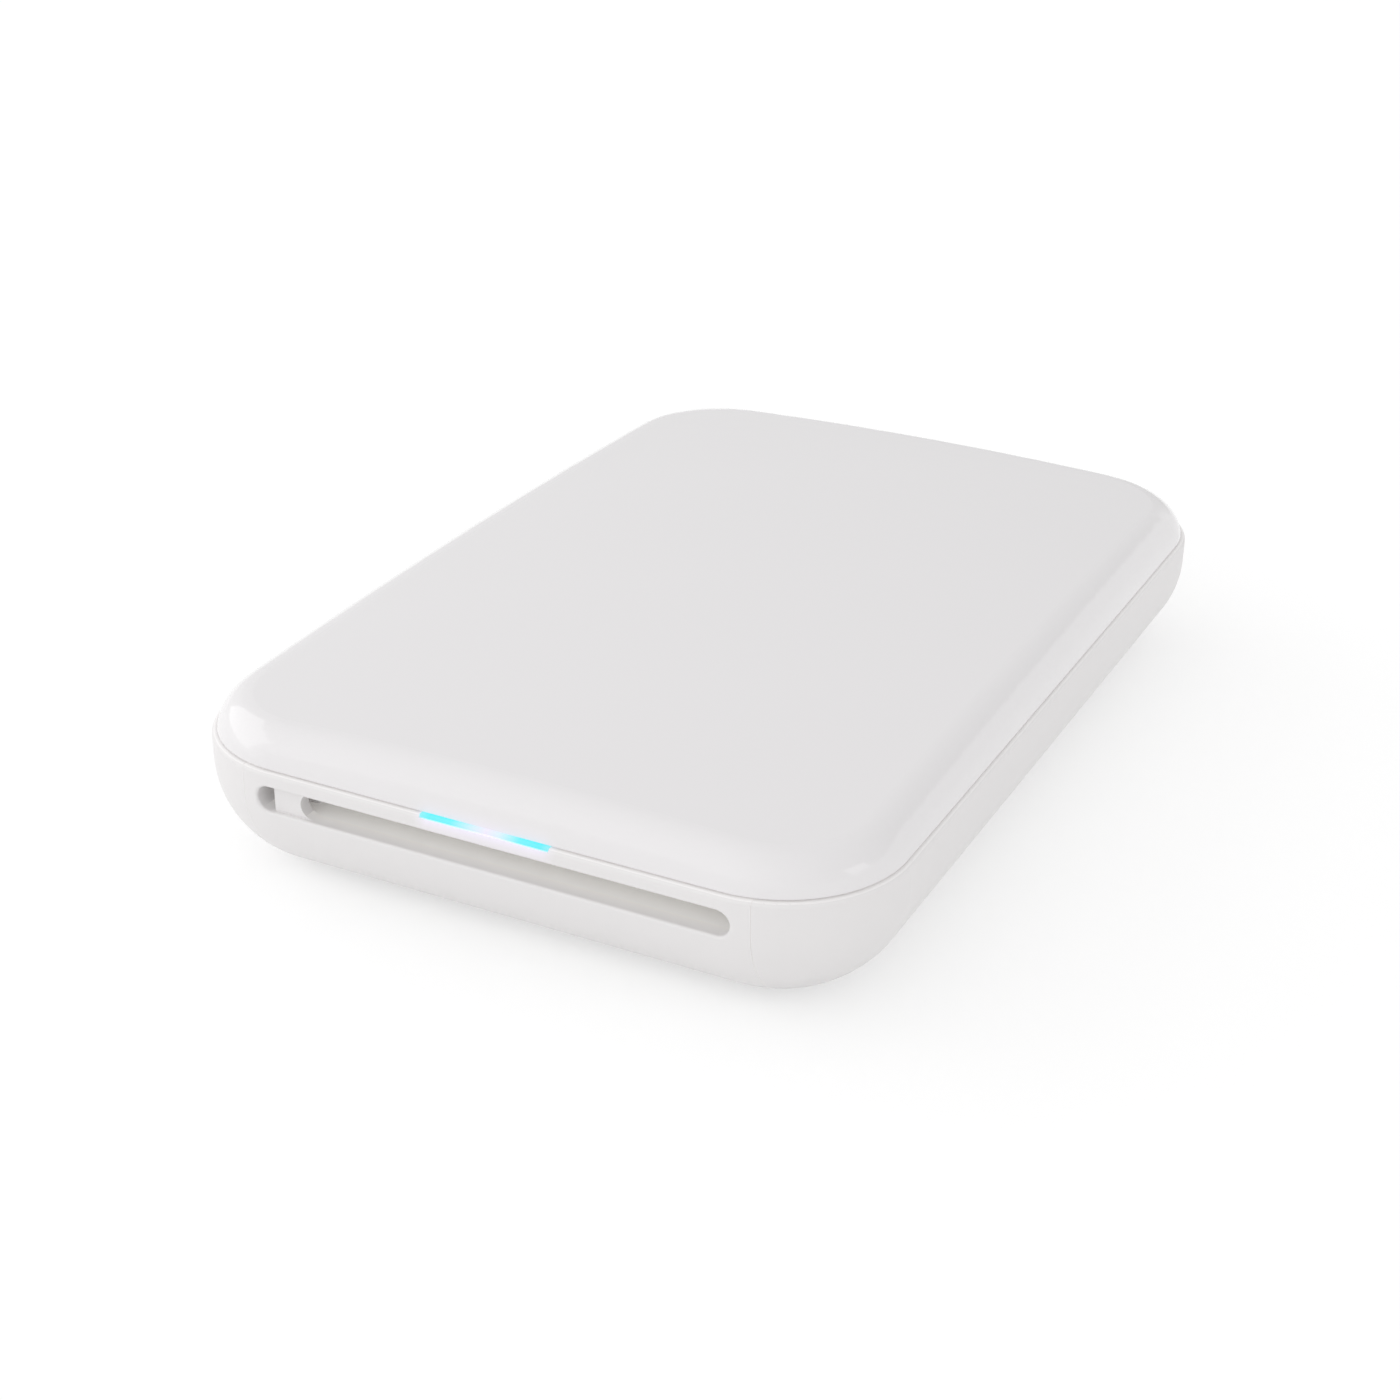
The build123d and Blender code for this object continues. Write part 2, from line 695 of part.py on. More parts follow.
with BuildPart() as middle_frame:
    with BuildSketch(Plane.XY.offset(deck_bottom)):
        RectangleRounded(width - 2 * deck_inset, length - 2 * deck_inset, corner_radius - deck_inset)
        with Locations(((bay_left + bay_right) / 2, (bay_front + bay_rear) / 2)):
            Rectangle(bay_right - bay_left, bay_rear - bay_front, mode=Mode.SUBTRACT)
        with Locations(((well_left + well_right) / 2, (well_front + well_rear) / 2)):
            Rectangle(well_right - well_left, well_rear - well_front, mode=Mode.SUBTRACT)
        with Locations((0, (shelf_y + rear_y) / 2)):
            Rectangle(width, rear_y - shelf_y, mode=Mode.SUBTRACT)
        with Locations((0, front_y)):
            Rectangle(strip_length + 6 * part_gap, 2 * (strip_front + strip_thickness + part_gap - front_y),
                      mode=Mode.SUBTRACT)
    extrude(amount=deck_thickness)
    block((well_left - well_wall, well_front - well_wall, well_bottom),
          (well_right + well_wall, shelf_y, deck_bottom + part_gap))
    block((well_left, well_front, well_top_floor), (well_right, well_rear, seam_z), mode=Mode.SUBTRACT)
    block((well_left - well_wall - 1, well_front - well_wall - 1, well_top_floor + gate_rise),
          (well_right + well_wall + 1, well_front, deck_bottom), mode=Mode.SUBTRACT)
    block((well_left - well_wall, well_front - well_wall, well_top_floor),
          (well_right + well_wall, well_front + part_gap, deck_top), mode=Mode.SUBTRACT)
    block((well_left, well_front - well_wall, well_top_floor),
          (well_right, well_front, well_top_floor + gate_rise))
    for ring_x in pickup_rings:
        window_half_x = pickup_ring_width / 2 + moving_gap
        window_half_y = pickup_window_reach + window_gap
        block((ring_x - window_half_x, pickup_y - window_half_y, well_bottom - 1),
              (ring_x + window_half_x, pickup_y + window_half_y, seam_z), mode=Mode.SUBTRACT)
    with BuildSketch(Plane.XY.offset(shelf_top - rear_shelf_thickness)):
        RectangleRounded(width - 2 * deck_inset, length - 2 * deck_inset, corner_radius - deck_inset)
        with Locations((0, (shelf_y - rear_y) / 2 - part_gap)):
            Rectangle(width, shelf_y + rear_y, mode=Mode.SUBTRACT)
    extrude(amount=rear_shelf_thickness)
    for side in (-1, 1):
        outer_x = width / 2 - deck_inset - shelf_rib_in
        inner_x = outer_x - shelf_rib_width
        rib_low_x, rib_high_x = min(side * outer_x, side * inner_x), max(side * outer_x, side * inner_x)
        block((rib_low_x, shelf_y - 2 * well_wall, shelf_top - rear_shelf_thickness),
              (rib_high_x, shelf_y, deck_bottom + part_gap))
    for place in ear_places:
        with BuildSketch(Plane.YZ.offset(place - ear_width / 2)):
            with BuildLine():
                Polyline(*stem, close=True)
            make_face()
            with Locations((hinge_y, hinge_z)):
                Circle(knuckle_radius)
        extrude(amount=ear_width)
        rod(hinge_y, hinge_z, hinge_pin_radius + running_gap, place - ear_width, place + ear_width,
            mode=Mode.SUBTRACT)
    for boss in boss_places:
        post(*boss, screw_radius + running_gap, shelf_top - rear_shelf_thickness - 1, deck_top + 1,
             mode=Mode.SUBTRACT)
    for side in (-1, 1):
        post(side * latch_x, latch_y, latch_radius, deck_bottom - 1, deck_top + 1, mode=Mode.SUBTRACT)
    for place in hood_screws:
        post(*place, hood_screw_radius, deck_bottom - 1, deck_top + 1, mode=Mode.SUBTRACT)
save(middle_frame, "middle_frame")

with BuildPart() as latch_magnets:
    for side in (-1, 1):
        post(side * latch_x, latch_y, latch_radius, deck_bottom, deck_top)
save(latch_magnets, "latch_magnets")

with BuildPart() as case_screws:
    for boss in boss_places:
        post(*boss, screw_head_radius, deck_top, deck_top + screw_head_height)
        post(*boss, screw_radius, deck_bottom - case_screw_length + 1, deck_top + part_gap)
save(case_screws, "case_screws")

# Top cover with the hinge lugs and the posts that hold its liner
lug_step = ear_width / 2 + hinge_side_gap + lug_width / 2
lug_places = [place + side * lug_step for place in ear_places for side in (-1, 1)]
liner_screws = [(sx * liner_screw_x, sy * liner_screw_y) for sx in (-1, 1) for sy in (-1, 1)]
cover_shape = pillow(0, cover_z)
with BuildPart() as cover_hollow:
    add(pillow(cover_wall, cover_z))
    for place in liner_screws:
        post(*place, liner_post_radius, liner_top, height, mode=Mode.SUBTRACT)
with BuildPart() as top_cover:
    add(cover_shape)
    add(cover_hollow.part, mode=Mode.SUBTRACT)
    for place in lug_places:
        block((place - lug_width / 2, hinge_y - knuckle_radius, hinge_z),
              (place + lug_width / 2, hinge_y + knuckle_radius, hinge_z + 1.9))
        rod(hinge_y, hinge_z, knuckle_radius, place - lug_width / 2, place + lug_width / 2)
        rod(hinge_y, hinge_z, hinge_pin_radius, place - lug_width, place + lug_width, mode=Mode.SUBTRACT)
    for place in liner_screws:
        post(*place, liner_screw_radius, liner_top - 1, liner_z + 0.5 + liner_screw_length,
             mode=Mode.SUBTRACT)
save(top_cover, "top_cover")

with BuildPart() as hinge_pins:
    for place in ear_places:
        pin_reach = lug_step + lug_width / 2
        rod(hinge_y, hinge_z, hinge_pin_radius, place - pin_reach, place + pin_reach)
save(hinge_pins, "hinge_pins")

# Cover liner, with the spring cups and the lugs of the pressure plate
plate_pivot_z = liner_z - plate_pivot_drop
liner_width = cover_width - 2 * (cover_wall + liner_side_gap)
liner_length = cover_length - 2 * (cover_wall + liner_side_gap)
plate_left_x = paper_centre_x - plate_width / 2
plate_right_x = paper_centre_x + plate_width / 2
spring_y = plate_pivot_y - spring_offset_y
spring_places = [(paper_centre_x + side * spring_offset_x, spring_y) for side in (-1, 1)]
cup_inner = spring_coil_radius + spring_wire_radius + cup_clearance
cup_top = height - cover_wall - cup_top_gap
spring_top = cup_top - cup_wall
lug_low_x = (plate_left_x - part_gap - plate_lug_width, plate_right_x + part_gap)
with BuildPart() as cover_liner:
    with BuildSketch(Plane.XY.offset(liner_z)):
        RectangleRounded(liner_width, liner_length, cover_corner - cover_wall - liner_side_gap)
        with Locations((0, shelf_y + liner_length / 2)):
            Rectangle(width, liner_length, mode=Mode.SUBTRACT)
    extrude(amount=liner_thickness)
    for place in spring_places:
        post(*place, cup_inner + cup_wall, liner_z, cup_top)
        post(*place, cup_inner, liner_z - 1, spring_top, mode=Mode.SUBTRACT)
    for low_x in lug_low_x:
        block((low_x, plate_pivot_y - plate_barrel_radius, plate_pivot_z),
              (low_x + plate_lug_width, plate_pivot_y + plate_barrel_radius, liner_z))
        rod(plate_pivot_y, plate_pivot_z, plate_barrel_radius, low_x, low_x + plate_lug_width)
        rod(plate_pivot_y, plate_pivot_z, plate_pin_radius, low_x - 1, low_x + plate_lug_width + 1,
            mode=Mode.SUBTRACT)
    for side in (-1, 1):
        post(side * latch_x, latch_y, latch_radius + latch_rim,
             deck_top + moving_gap + latch_disc_thickness, liner_z)
    add(pillow(cover_wall + moving_gap, plate_pivot_z - 2 * plate_barrel_radius), mode=Mode.INTERSECT)
    for place in liner_screws:
        post(*place, liner_screw_radius, liner_z - 1, liner_top + 1, mode=Mode.SUBTRACT)
        post(*place, liner_screw_head, liner_z - 1, liner_z + liner_screw_head_height, mode=Mode.SUBTRACT)
save(cover_liner, "cover_liner")

with BuildPart() as liner_screw_group:
    for place in liner_screws:
        post(*place, liner_screw_head - running_gap, liner_z, liner_z + liner_screw_head_height)
        post(*place, liner_screw_radius, liner_z + liner_screw_head_height / 2,
             liner_z + 0.5 + liner_screw_length)
save(liner_screw_group, "liner_screws")

with BuildPart() as latch_discs:
    for side in (-1, 1):
        post(side * latch_x, latch_y, latch_radius, deck_top + moving_gap,
             deck_top + moving_gap + latch_disc_thickness)
save(latch_discs, "latch_discs")

# Pressure plate, its pad, pin and springs
slope = radians(plate_slope)
spring_seat_z = plate_pivot_z - spring_offset_y * tan(slope) + spring_seat_lift


def on_plate(along, up):
    """Return the place of a point along the sloping plate and above its middle."""
    return (plate_pivot_y - along * cos(slope) - up * sin(slope),
            plate_pivot_z - along * sin(slope) + up * cos(slope))


with BuildPart() as pressure_plate:
    half = plate_thickness / 2
    with BuildSketch(Plane.YZ.offset(plate_left_x)):
        with BuildLine():
            Polyline(on_plate(0, -half), on_plate(plate_length, -half))
            ThreePointArc(on_plate(plate_length, -half), on_plate(plate_length + half, 0),
                          on_plate(plate_length, half))
            Polyline(on_plate(plate_length, half), on_plate(0, half), on_plate(0, -half))
        make_face()
        with Locations((plate_pivot_y, plate_pivot_z)):
            Circle(plate_barrel_radius)
    extrude(amount=plate_width)
    for place in spring_places:
        post(*place, spring_seat_radius, spring_seat_z - spring_seat_lift, spring_seat_z)
        post(*place, spring_coil_radius - spring_wire_radius - moving_gap,
             spring_seat_z - 0.5, spring_seat_z + 0.8)
    rod(plate_pivot_y, plate_pivot_z, plate_pin_radius + running_gap, plate_left_x - 1, plate_right_x + 1,
        mode=Mode.SUBTRACT)
save(pressure_plate, "pressure_plate")

with BuildPart() as pressure_pad:
    near = plate_length - pad_inset - pad_length
    far = plate_length - pad_inset
    with BuildSketch(Plane.YZ.offset(plate_left_x + pad_inset)):
        with BuildLine():
            Polyline(on_plate(near, -half), on_plate(far, -half), on_plate(far, -half - pad_thickness),
                     on_plate(near, -half - pad_thickness), close=True)
        make_face()
    extrude(amount=plate_width - 2 * pad_inset)
save(pressure_pad, "pressure_pad")

with BuildPart() as pressure_plate_pin:
    rod(plate_pivot_y, plate_pivot_z, plate_pin_radius, lug_low_x[0], lug_low_x[1] + plate_lug_width)
save(pressure_plate_pin, "pressure_plate_pin")

with BuildPart() as pressure_springs:
    for place in spring_places:
        coil(*place, spring_seat_z + part_gap / 2, spring_top - part_gap / 2)
save(pressure_springs, "pressure_springs")
coil_pitch = (spring_top - spring_seat_z - 2 * spring_wire_radius) / spring_turns
print("least gap between the loops of a spring", round(coil_pitch - 2 * spring_wire_radius, 2))

# Gear centres, each set by the two gears that it meshes with
platen_place = (platen_y, platen_z)
feed_place = (feed_y, feed_z)
pickup_place = (pickup_y, pickup_z)
front_idler_place = third_point(feed_place, platen_place, centre_distance(feed_teeth, front_idler_teeth),
                                centre_distance(platen_teeth, front_idler_teeth), 1)
rear_idler_place = third_point(pickup_place, feed_place, centre_distance(pickup_teeth, rear_idler_teeth),
                               centre_distance(feed_teeth, rear_idler_teeth), 1)
reduction_reach = centre_distance(pickup_teeth, reduction_small_teeth)
reduction_place = (pickup_y + sqrt(reduction_reach ** 2 - (reduction_z - pickup_z) ** 2), reduction_z)
motor_reach = centre_distance(reduction_large_teeth, pinion_teeth)
motor_z = floor_z + motor_radius + 0.4
motor_place = (reduction_place[0] + sqrt(motor_reach ** 2 - (reduction_z - motor_z) ** 2), motor_z)
platen_phase = 0.0
front_idler_phase = meshed_phase(platen_phase, platen_teeth, platen_place,
                                 front_idler_teeth, front_idler_place)
feed_phase = meshed_phase(front_idler_phase, front_idler_teeth, front_idler_place, feed_teeth, feed_place)
rear_idler_phase = meshed_phase(feed_phase, feed_teeth, feed_place, rear_idler_teeth, rear_idler_place)
pickup_phase = meshed_phase(rear_idler_phase, rear_idler_teeth, rear_idler_place, pickup_teeth, pickup_place)
small_phase = meshed_phase(pickup_phase, pickup_teeth, pickup_place, reduction_small_teeth, reduction_place)
pinion_phase = meshed_phase(small_phase, reduction_large_teeth, reduction_place, pinion_teeth, motor_place)
for name, place in (("platen", platen_place), ("feed", feed_place), ("pickup", pickup_place),
                    ("front idler", front_idler_place), ("rear idler", rear_idler_place),
                    ("reduction", reduction_place), ("motor", motor_place)):
    print(name, "axis at", round(place[0], 4), round(place[1], 4))

# Side plates, ties and bushings
head_pivot = (platen_y + head_pivot_back, head_z + head_pivot_rise)
plate_foot_z = floor_z + side_plate_floor_gap
sink_top = head_z + head_bar_thickness + sink_thickness
side_top = hood_bottom - hood_gap - 0.3
side_front_y = tunnel_y + moving_gap + part_gap
plate_end_y = bay_rear - side_plate_end_gap
motor_end_y = motor_place[0] + side_plate_tail
low_outline = ((side_front_y, plate_foot_z + side_plate_chamfer),
               (side_front_y + side_plate_run, plate_foot_z),
               (motor_end_y, plate_foot_z), (motor_end_y, well_bottom - moving_gap))
shaft_places = (platen_place, feed_place, pickup_place)
stud_places = (front_idler_place, rear_idler_place, reduction_place)


def side_plate_outline(rear_points):
    """Return the points of a side plate's outline, front end first."""
    head_end = ((plate_end_y, side_plate_step_z), (plate_end_y, side_top), (side_front_y, side_top))
    return low_outline[:2] + rear_points + head_end


left_rear = low_outline[2:] + ((reduction_place[0] + reduction_margin, well_bottom - moving_gap),
                               (reduction_place[0] + reduction_shoulder, side_plate_step_z))
pickup_end_y = pickup_y + side_plate_tail
right_rear = ((pickup_end_y, plate_foot_z), (pickup_end_y, side_plate_step_z))
with BuildPart() as gear_side_plate:
    with BuildSketch(Plane.YZ.offset(plate_left - side_plate_thickness)):
        with BuildLine():
            Polyline(*side_plate_outline(left_rear), close=True)
        make_face()
        with Locations(*shaft_places):
            Circle(bushing_radius, mode=Mode.SUBTRACT)
        with Locations(*stud_places):
            Circle(stud_radius, mode=Mode.SUBTRACT)
        with Locations(*tie_places):
            Circle(tie_radius, mode=Mode.SUBTRACT)
        with Locations(motor_place):
            Circle(motor_boss_radius, mode=Mode.SUBTRACT)
        with Locations((feed_y, pinch_z)):
            Circle(pinch_axle_radius, mode=Mode.SUBTRACT)
        with Locations(head_pivot):
            Circle(head_pivot_radius + running_gap, mode=Mode.SUBTRACT)
    extrude(amount=side_plate_thickness)
save(gear_side_plate, "gear_side_plate")

with BuildPart() as bearing_side_plate:
    with BuildSketch(Plane.YZ.offset(plate_right)):
        with BuildLine():
            Polyline(*side_plate_outline(right_rear), close=True)
        make_face()
        with Locations(*shaft_places):
            Circle(bushing_radius, mode=Mode.SUBTRACT)
        with Locations(*tie_places):
            Circle(tie_radius, mode=Mode.SUBTRACT)
        with Locations((feed_y, pinch_z)):
            Circle(pinch_axle_radius, mode=Mode.SUBTRACT)
        with Locations(head_pivot):
            Circle(head_pivot_radius + running_gap, mode=Mode.SUBTRACT)
    extrude(amount=side_plate_thickness)
save(bearing_side_plate, "bearing_side_plate")

with BuildPart() as cross_ties:
    for place in tie_places:
        rod(*place, tie_radius, plate_left - side_plate_thickness, plate_right + side_plate_thickness)
save(cross_ties, "cross_ties")

with BuildPart() as shaft_bushings:
    for place in shaft_places:
        rod(*place, bushing_radius, plate_left - side_plate_thickness, plate_left)
        rod(*place, bushing_flange_radius, plate_left, plate_left + bushing_flange)
        rod(*place, bushing_radius, plate_right, plate_right + side_plate_thickness)
        rod(*place, bushing_flange_radius, plate_right - bushing_flange, plate_right)
        rod(*place, shaft_radius + running_gap, plate_left - 5, plate_right + 5, mode=Mode.SUBTRACT)
save(shaft_bushings, "shaft_bushings")

# Rollers, each with its shaft, rubber and gear
shaft_end = plate_right + side_plate_thickness + 0.6
roller_left = plate_left + side_plate_gap
roller_right = plate_right - side_plate_gap
rollers = (
    ("platen", platen_place, platen_radius, platen_teeth, platen_phase, ((roller_left, roller_right),)),
    ("feed", feed_place, feed_radius, feed_teeth, feed_phase,
     tuple((x - feed_ring_width / 2, x + feed_ring_width / 2) for x in feed_rings)),
    ("pickup", pickup_place, pickup_radius, pickup_teeth, pickup_phase,
     tuple((x - pickup_ring_width / 2, x + pickup_ring_width / 2) for x in pickup_rings)),
)
for name, place, rubber_radius, teeth, phase, stretches in rollers:
    with BuildPart() as shaft:
        rod(*place, shaft_radius, gear_left - 0.3, shaft_end)
    save(shaft, f"{name}_shaft")
    with BuildPart() as rubber:
        for low_x, high_x in stretches:
            rod(*place, rubber_radius, low_x, high_x)
            rod(*place, shaft_radius, low_x - 1, high_x + 1, mode=Mode.SUBTRACT)
    save(rubber, f"{name}_rubber")
    with BuildPart() as wheel:
        gear(teeth, phase, place, gear_left, gear_right)
        rod(*place, shaft_radius, gear_left - 1, gear_right + 1, mode=Mode.SUBTRACT)
    save(wheel, f"{name}_gear")

# Idler gears, the two-step reduction gear and the studs they turn on
idlers = (("front_idler_gear", front_idler_teeth, front_idler_phase, front_idler_place),
          ("rear_idler_gear", rear_idler_teeth, rear_idler_phase, rear_idler_place))
for name, teeth, phase, place in idlers:
    with BuildPart() as idler:
        gear(teeth, phase, place, gear_left, gear_right)
        rod(*place, stud_radius + running_gap, gear_left - 1, gear_right + 1, mode=Mode.SUBTRACT)
    save(idler, name)

with BuildPart() as reduction_gear:
    gear(reduction_small_teeth, small_phase, reduction_place, gear_left, gear_right)
    hub_radius = pitch_radius(reduction_small_teeth) - dedendum * gear_module
    rod(*reduction_place, hub_radius, large_right, gear_left)
    gear(reduction_large_teeth, small_phase, reduction_place, large_left, large_right)
    rod(*reduction_place, stud_radius + running_gap, large_left - 1, gear_right + 1, mode=Mode.SUBTRACT)
save(reduction_gear, "reduction_gear")

with BuildPart() as gear_studs:
    outer_ends = (gear_left, gear_left, large_left)
    for place, outer_end in zip(stud_places, outer_ends):
        rod(*place, stud_radius, outer_end - moving_gap - stud_end, plate_left)
        rod(*place, stud_shoulder_radius, gear_right + running_gap, plate_left - side_plate_thickness)
        rod(*place, stud_shoulder_radius, outer_end - running_gap - stud_end, outer_end - running_gap)
save(gear_studs, "gear_studs")

# Motor, with its shaft and pinion
with BuildPart() as motor:
    rod(*motor_place, motor_radius, plate_left, plate_left + motor_length)
    fillet(motor.faces().sort_by(Axis.X)[-1].edges(), motor_edge_radius)
    rod(*motor_place, motor_boss_radius, plate_left - side_plate_thickness, plate_left + part_gap)
    rod(*motor_place, motor_cap_radius, plate_left + motor_length - part_gap,
        plate_left + motor_length + motor_cap_length)
    rod(*motor_place, motor_shaft_radius + running_gap,
        plate_left - side_plate_thickness - 1, plate_left + motor_shaft_in + part_gap,
        mode=Mode.SUBTRACT)
save(motor, "motor")

with BuildPart() as motor_shaft:
    rod(*motor_place, motor_shaft_radius, large_left - motor_shaft_end, plate_left + motor_shaft_in)
save(motor_shaft, "motor_shaft")

with BuildPart() as motor_pinion:
    gear(pinion_teeth, pinion_phase, motor_place, large_left, large_right)
    rod(*motor_place, motor_shaft_radius, large_left - 1, large_right + 1, mode=Mode.SUBTRACT)
save(motor_pinion, "motor_pinion")

# Pinch rollers above the feed roller
with BuildPart() as pinch_axle:
    rod(feed_y, pinch_z, pinch_axle_radius,
        plate_left - side_plate_thickness, plate_right + side_plate_thickness)
save(pinch_axle, "pinch_axle")

with BuildPart() as pinch_rollers:
    for ring_x in feed_rings:
        rod(feed_y, pinch_z, pinch_radius, ring_x - pinch_width / 2, ring_x + pinch_width / 2)
        rod(feed_y, pinch_z, pinch_axle_radius + running_gap, ring_x - pinch_width, ring_x + pinch_width,
            mode=Mode.SUBTRACT)
save(pinch_rollers, "pinch_rollers")

# Thermal print head: the ceramic bar, its heat sink and the leaf spring on it
head_left = plate_left + head_side_gap
head_right = plate_right - head_side_gap
sink_bottom = head_z + head_bar_thickness
with BuildPart() as head_bar:
    block((head_left, platen_y - head_bar_length / 2, head_z),
          (head_right, platen_y + head_bar_length / 2, sink_bottom))
save(head_bar, "print_head_bar")

with BuildPart() as heat_sink:
    block((head_left, platen_y - sink_front, sink_bottom), (head_right, platen_y + sink_rear, sink_top))
    fin_step = (sink_front + sink_rear - 1.6 - fin_width) / (fin_count - 1)
    for index in range(fin_count):
        fin_y = platen_y - sink_front + index * fin_step
        block((head_left, fin_y, sink_top), (head_right, fin_y + fin_width, sink_top + fin_height))
    rod(*head_pivot, head_barrel_radius, head_left, head_right)
    rod(*head_pivot, head_pivot_radius, plate_left - side_plate_thickness, plate_right + side_plate_thickness)
save(heat_sink, "print_head_sink")

with BuildPart() as leaf_spring:
    leaf_low = sink_top + fin_height + part_gap
    leaf_high = hood_bottom - part_gap
    middle_y = platen_y + leaf_width / 2
    with BuildSketch(Plane.XZ.offset(-middle_y)):
        with BuildLine():
            left_x = paper_centre_x - leaf_length / 2
            right_x = paper_centre_x + leaf_length / 2
            ThreePointArc((left_x, leaf_high - leaf_thickness), (paper_centre_x, leaf_low),
                          (right_x, leaf_high - leaf_thickness))
            Line((right_x, leaf_high - leaf_thickness), (right_x, leaf_high))
            ThreePointArc((right_x, leaf_high), (paper_centre_x, leaf_low + leaf_thickness),
                          (left_x, leaf_high))
            Line((left_x, leaf_high), (left_x, leaf_high - leaf_thickness))
        make_face()
    extrude(amount=leaf_width)
save(leaf_spring, "head_leaf_spring")

# Lower paper guide between the rollers
guide_plate_top = paper_z - guide_plate_drop
guide_plate_low = guide_plate_top - guide_plate_thickness
platen_window = sqrt(platen_radius ** 2 - (guide_plate_low - platen_z) ** 2) + window_gap
feed_window = sqrt(feed_radius ** 2 - (guide_plate_low - feed_z) ** 2) + window_gap
with BuildPart() as paper_guide:
    block((plate_left + bushing_flange + part_gap, tunnel_y + moving_gap, guide_plate_low),
          (plate_right - bushing_flange - part_gap, well_front - well_wall - part_gap, guide_plate_top))
    block((roller_left - moving_gap, platen_y - platen_window, guide_plate_low - 1),
          (roller_right + moving_gap, platen_y + platen_window, guide_plate_top + 1), mode=Mode.SUBTRACT)
    for ring_x in feed_rings:
        block((ring_x - feed_ring_width / 2 - moving_gap, feed_y - feed_window, guide_plate_low - 1),
              (ring_x + feed_ring_width / 2 + moving_gap, feed_y + feed_window, guide_plate_top + 1),
              mode=Mode.SUBTRACT)
save(paper_guide, "paper_guide")

# Mechanism cover
with BuildPart() as hood:
    with BuildSketch(Plane.XY.offset(deck_top)):
        with Locations(((hood_left + hood_right) / 2, (hood_front_y + hood_rear_y) / 2)):
            RectangleRounded(hood_right - hood_left, hood_rear_y - hood_front_y, hood_corner)
    extrude(amount=hood_top - deck_top)
    fillet(hood.faces().sort_by(Axis.Z)[-1].edges(), 0.4)
    block((hood_left + hood_thickness, hood_front_y + hood_thickness, deck_top - 1),
          (hood_right - hood_thickness, hood_rear_y - hood_thickness, hood_bottom), mode=Mode.SUBTRACT)
    for x, y in hood_screws:
        inward = hood_ear_width / 2 + hood_thickness / 2
        outward = hood_ear_width / 2
        low_x = x - (outward if x < 0 else inward)
        high_x = x + (inward if x < 0 else outward)
        block((low_x, y - hood_ear_length / 2, deck_top),
              (high_x, y + hood_ear_length / 2, deck_top + hood_thickness))
        post(x, y, hood_screw_radius, deck_top - 1, deck_top + 1, mode=Mode.SUBTRACT)
save(hood, "mechanism_cover")

with BuildPart() as hood_screw_group:
    for place in hood_screws:
        hood_seat_z = deck_top + hood_thickness
        post(*place, hood_screw_head, hood_seat_z, hood_seat_z + hood_screw_head_height)
        post(*place, hood_screw_radius, hood_seat_z - hood_screw_length, hood_seat_z)
save(hood_screw_group, "mechanism_cover_screws")

# Battery on its two foam strips
battery_left_x = battery_right_x - battery_width
battery_z = floor_z + battery_lift
with BuildPart() as battery:
    block((battery_left_x, battery_front_y, battery_z),
          (battery_right_x, battery_rear_y, battery_z + battery_thickness))
    fillet(battery.edges().filter_by(Axis.Y), battery_edge_radius)
save(battery, "battery")

with BuildPart() as battery_tape:
    for low_y in (battery_front_y, battery_rear_y - battery_tape_width):
        block((battery_left_x + battery_edge_radius, low_y, floor_z),
              (battery_right_x - battery_edge_radius, low_y + battery_tape_width, battery_z))
save(battery_tape, "battery_tape")

# Main board with its parts
board_right_x = board_left_x + board_width
tongue_rear_y = board_front_y + tongue_length
with BuildPart() as main_board:
    block((board_left_x, board_front_y, board_z), (board_right_x, board_rear_y, board_top))
    block((board_right_x, board_front_y, board_z), (board_right_x + tongue_reach, tongue_rear_y, board_top))
    for place in board_posts:
        post(*place, board_screw_radius, board_z - 1, board_top + 1, mode=Mode.SUBTRACT)
save(main_board, "main_board")

motor_socket_x = board_right_x + motor_socket_in_x
motor_socket_y = board_front_y + motor_socket_in_y
motor_socket = (motor_socket_x, motor_socket_x + motor_socket_width,
                motor_socket_y, motor_socket_y + lead_socket_length, lead_socket_height)
battery_socket_x = board_right_x + battery_socket_in_x
battery_socket_y = board_front_y + battery_socket_in_y
battery_socket = (battery_socket_x, battery_socket_x + battery_socket_width,
                  battery_socket_y, battery_socket_y + lead_socket_length, lead_socket_height)
flex_socket_x = board_left_x + flex_socket_in_x
flex_socket_y = board_rear_y - flex_socket_in_y
flex_socket = (flex_socket_x, flex_socket_x + flex_socket_width,
               flex_socket_y, flex_socket_y + flex_socket_length, flex_socket_height)
capacitor_x = board_left_x + capacitor_in_x
capacitor_first_y = board_front_y + capacitor_in_y
chip_boxes = ((4.5, 13.5, 9.0, 18.0, 1.0), (3.0, 15.0, 21.0, 36.0, 1.8), (15.5, 19.5, 11.0, 16.0, 0.9),
              (16.0, 19.0, 21.0, 24.0, 1.5), (16.0, 19.0, 26.0, 29.0, 1.5), (1.5, 3.5, 11.0, 15.0, 0.7))
chips = tuple((board_left_x + low_x, board_left_x + high_x,
               board_front_y + low_y, board_front_y + high_y, tall)
              for low_x, high_x, low_y, high_y, tall in chip_boxes)
with BuildPart() as board_parts:
    for low_x, high_x, low_y, high_y, tall in (motor_socket, battery_socket, flex_socket) + chips:
        block((low_x, low_y, board_top), (high_x, high_y, board_top + tall))
    for index in range(capacitor_count):
        low_y = capacitor_first_y + index * capacitor_pitch
        block((capacitor_x, low_y, board_top), (capacitor_x + 1.6, low_y + 0.8, board_top + 0.8))
save(board_parts, "board_parts")

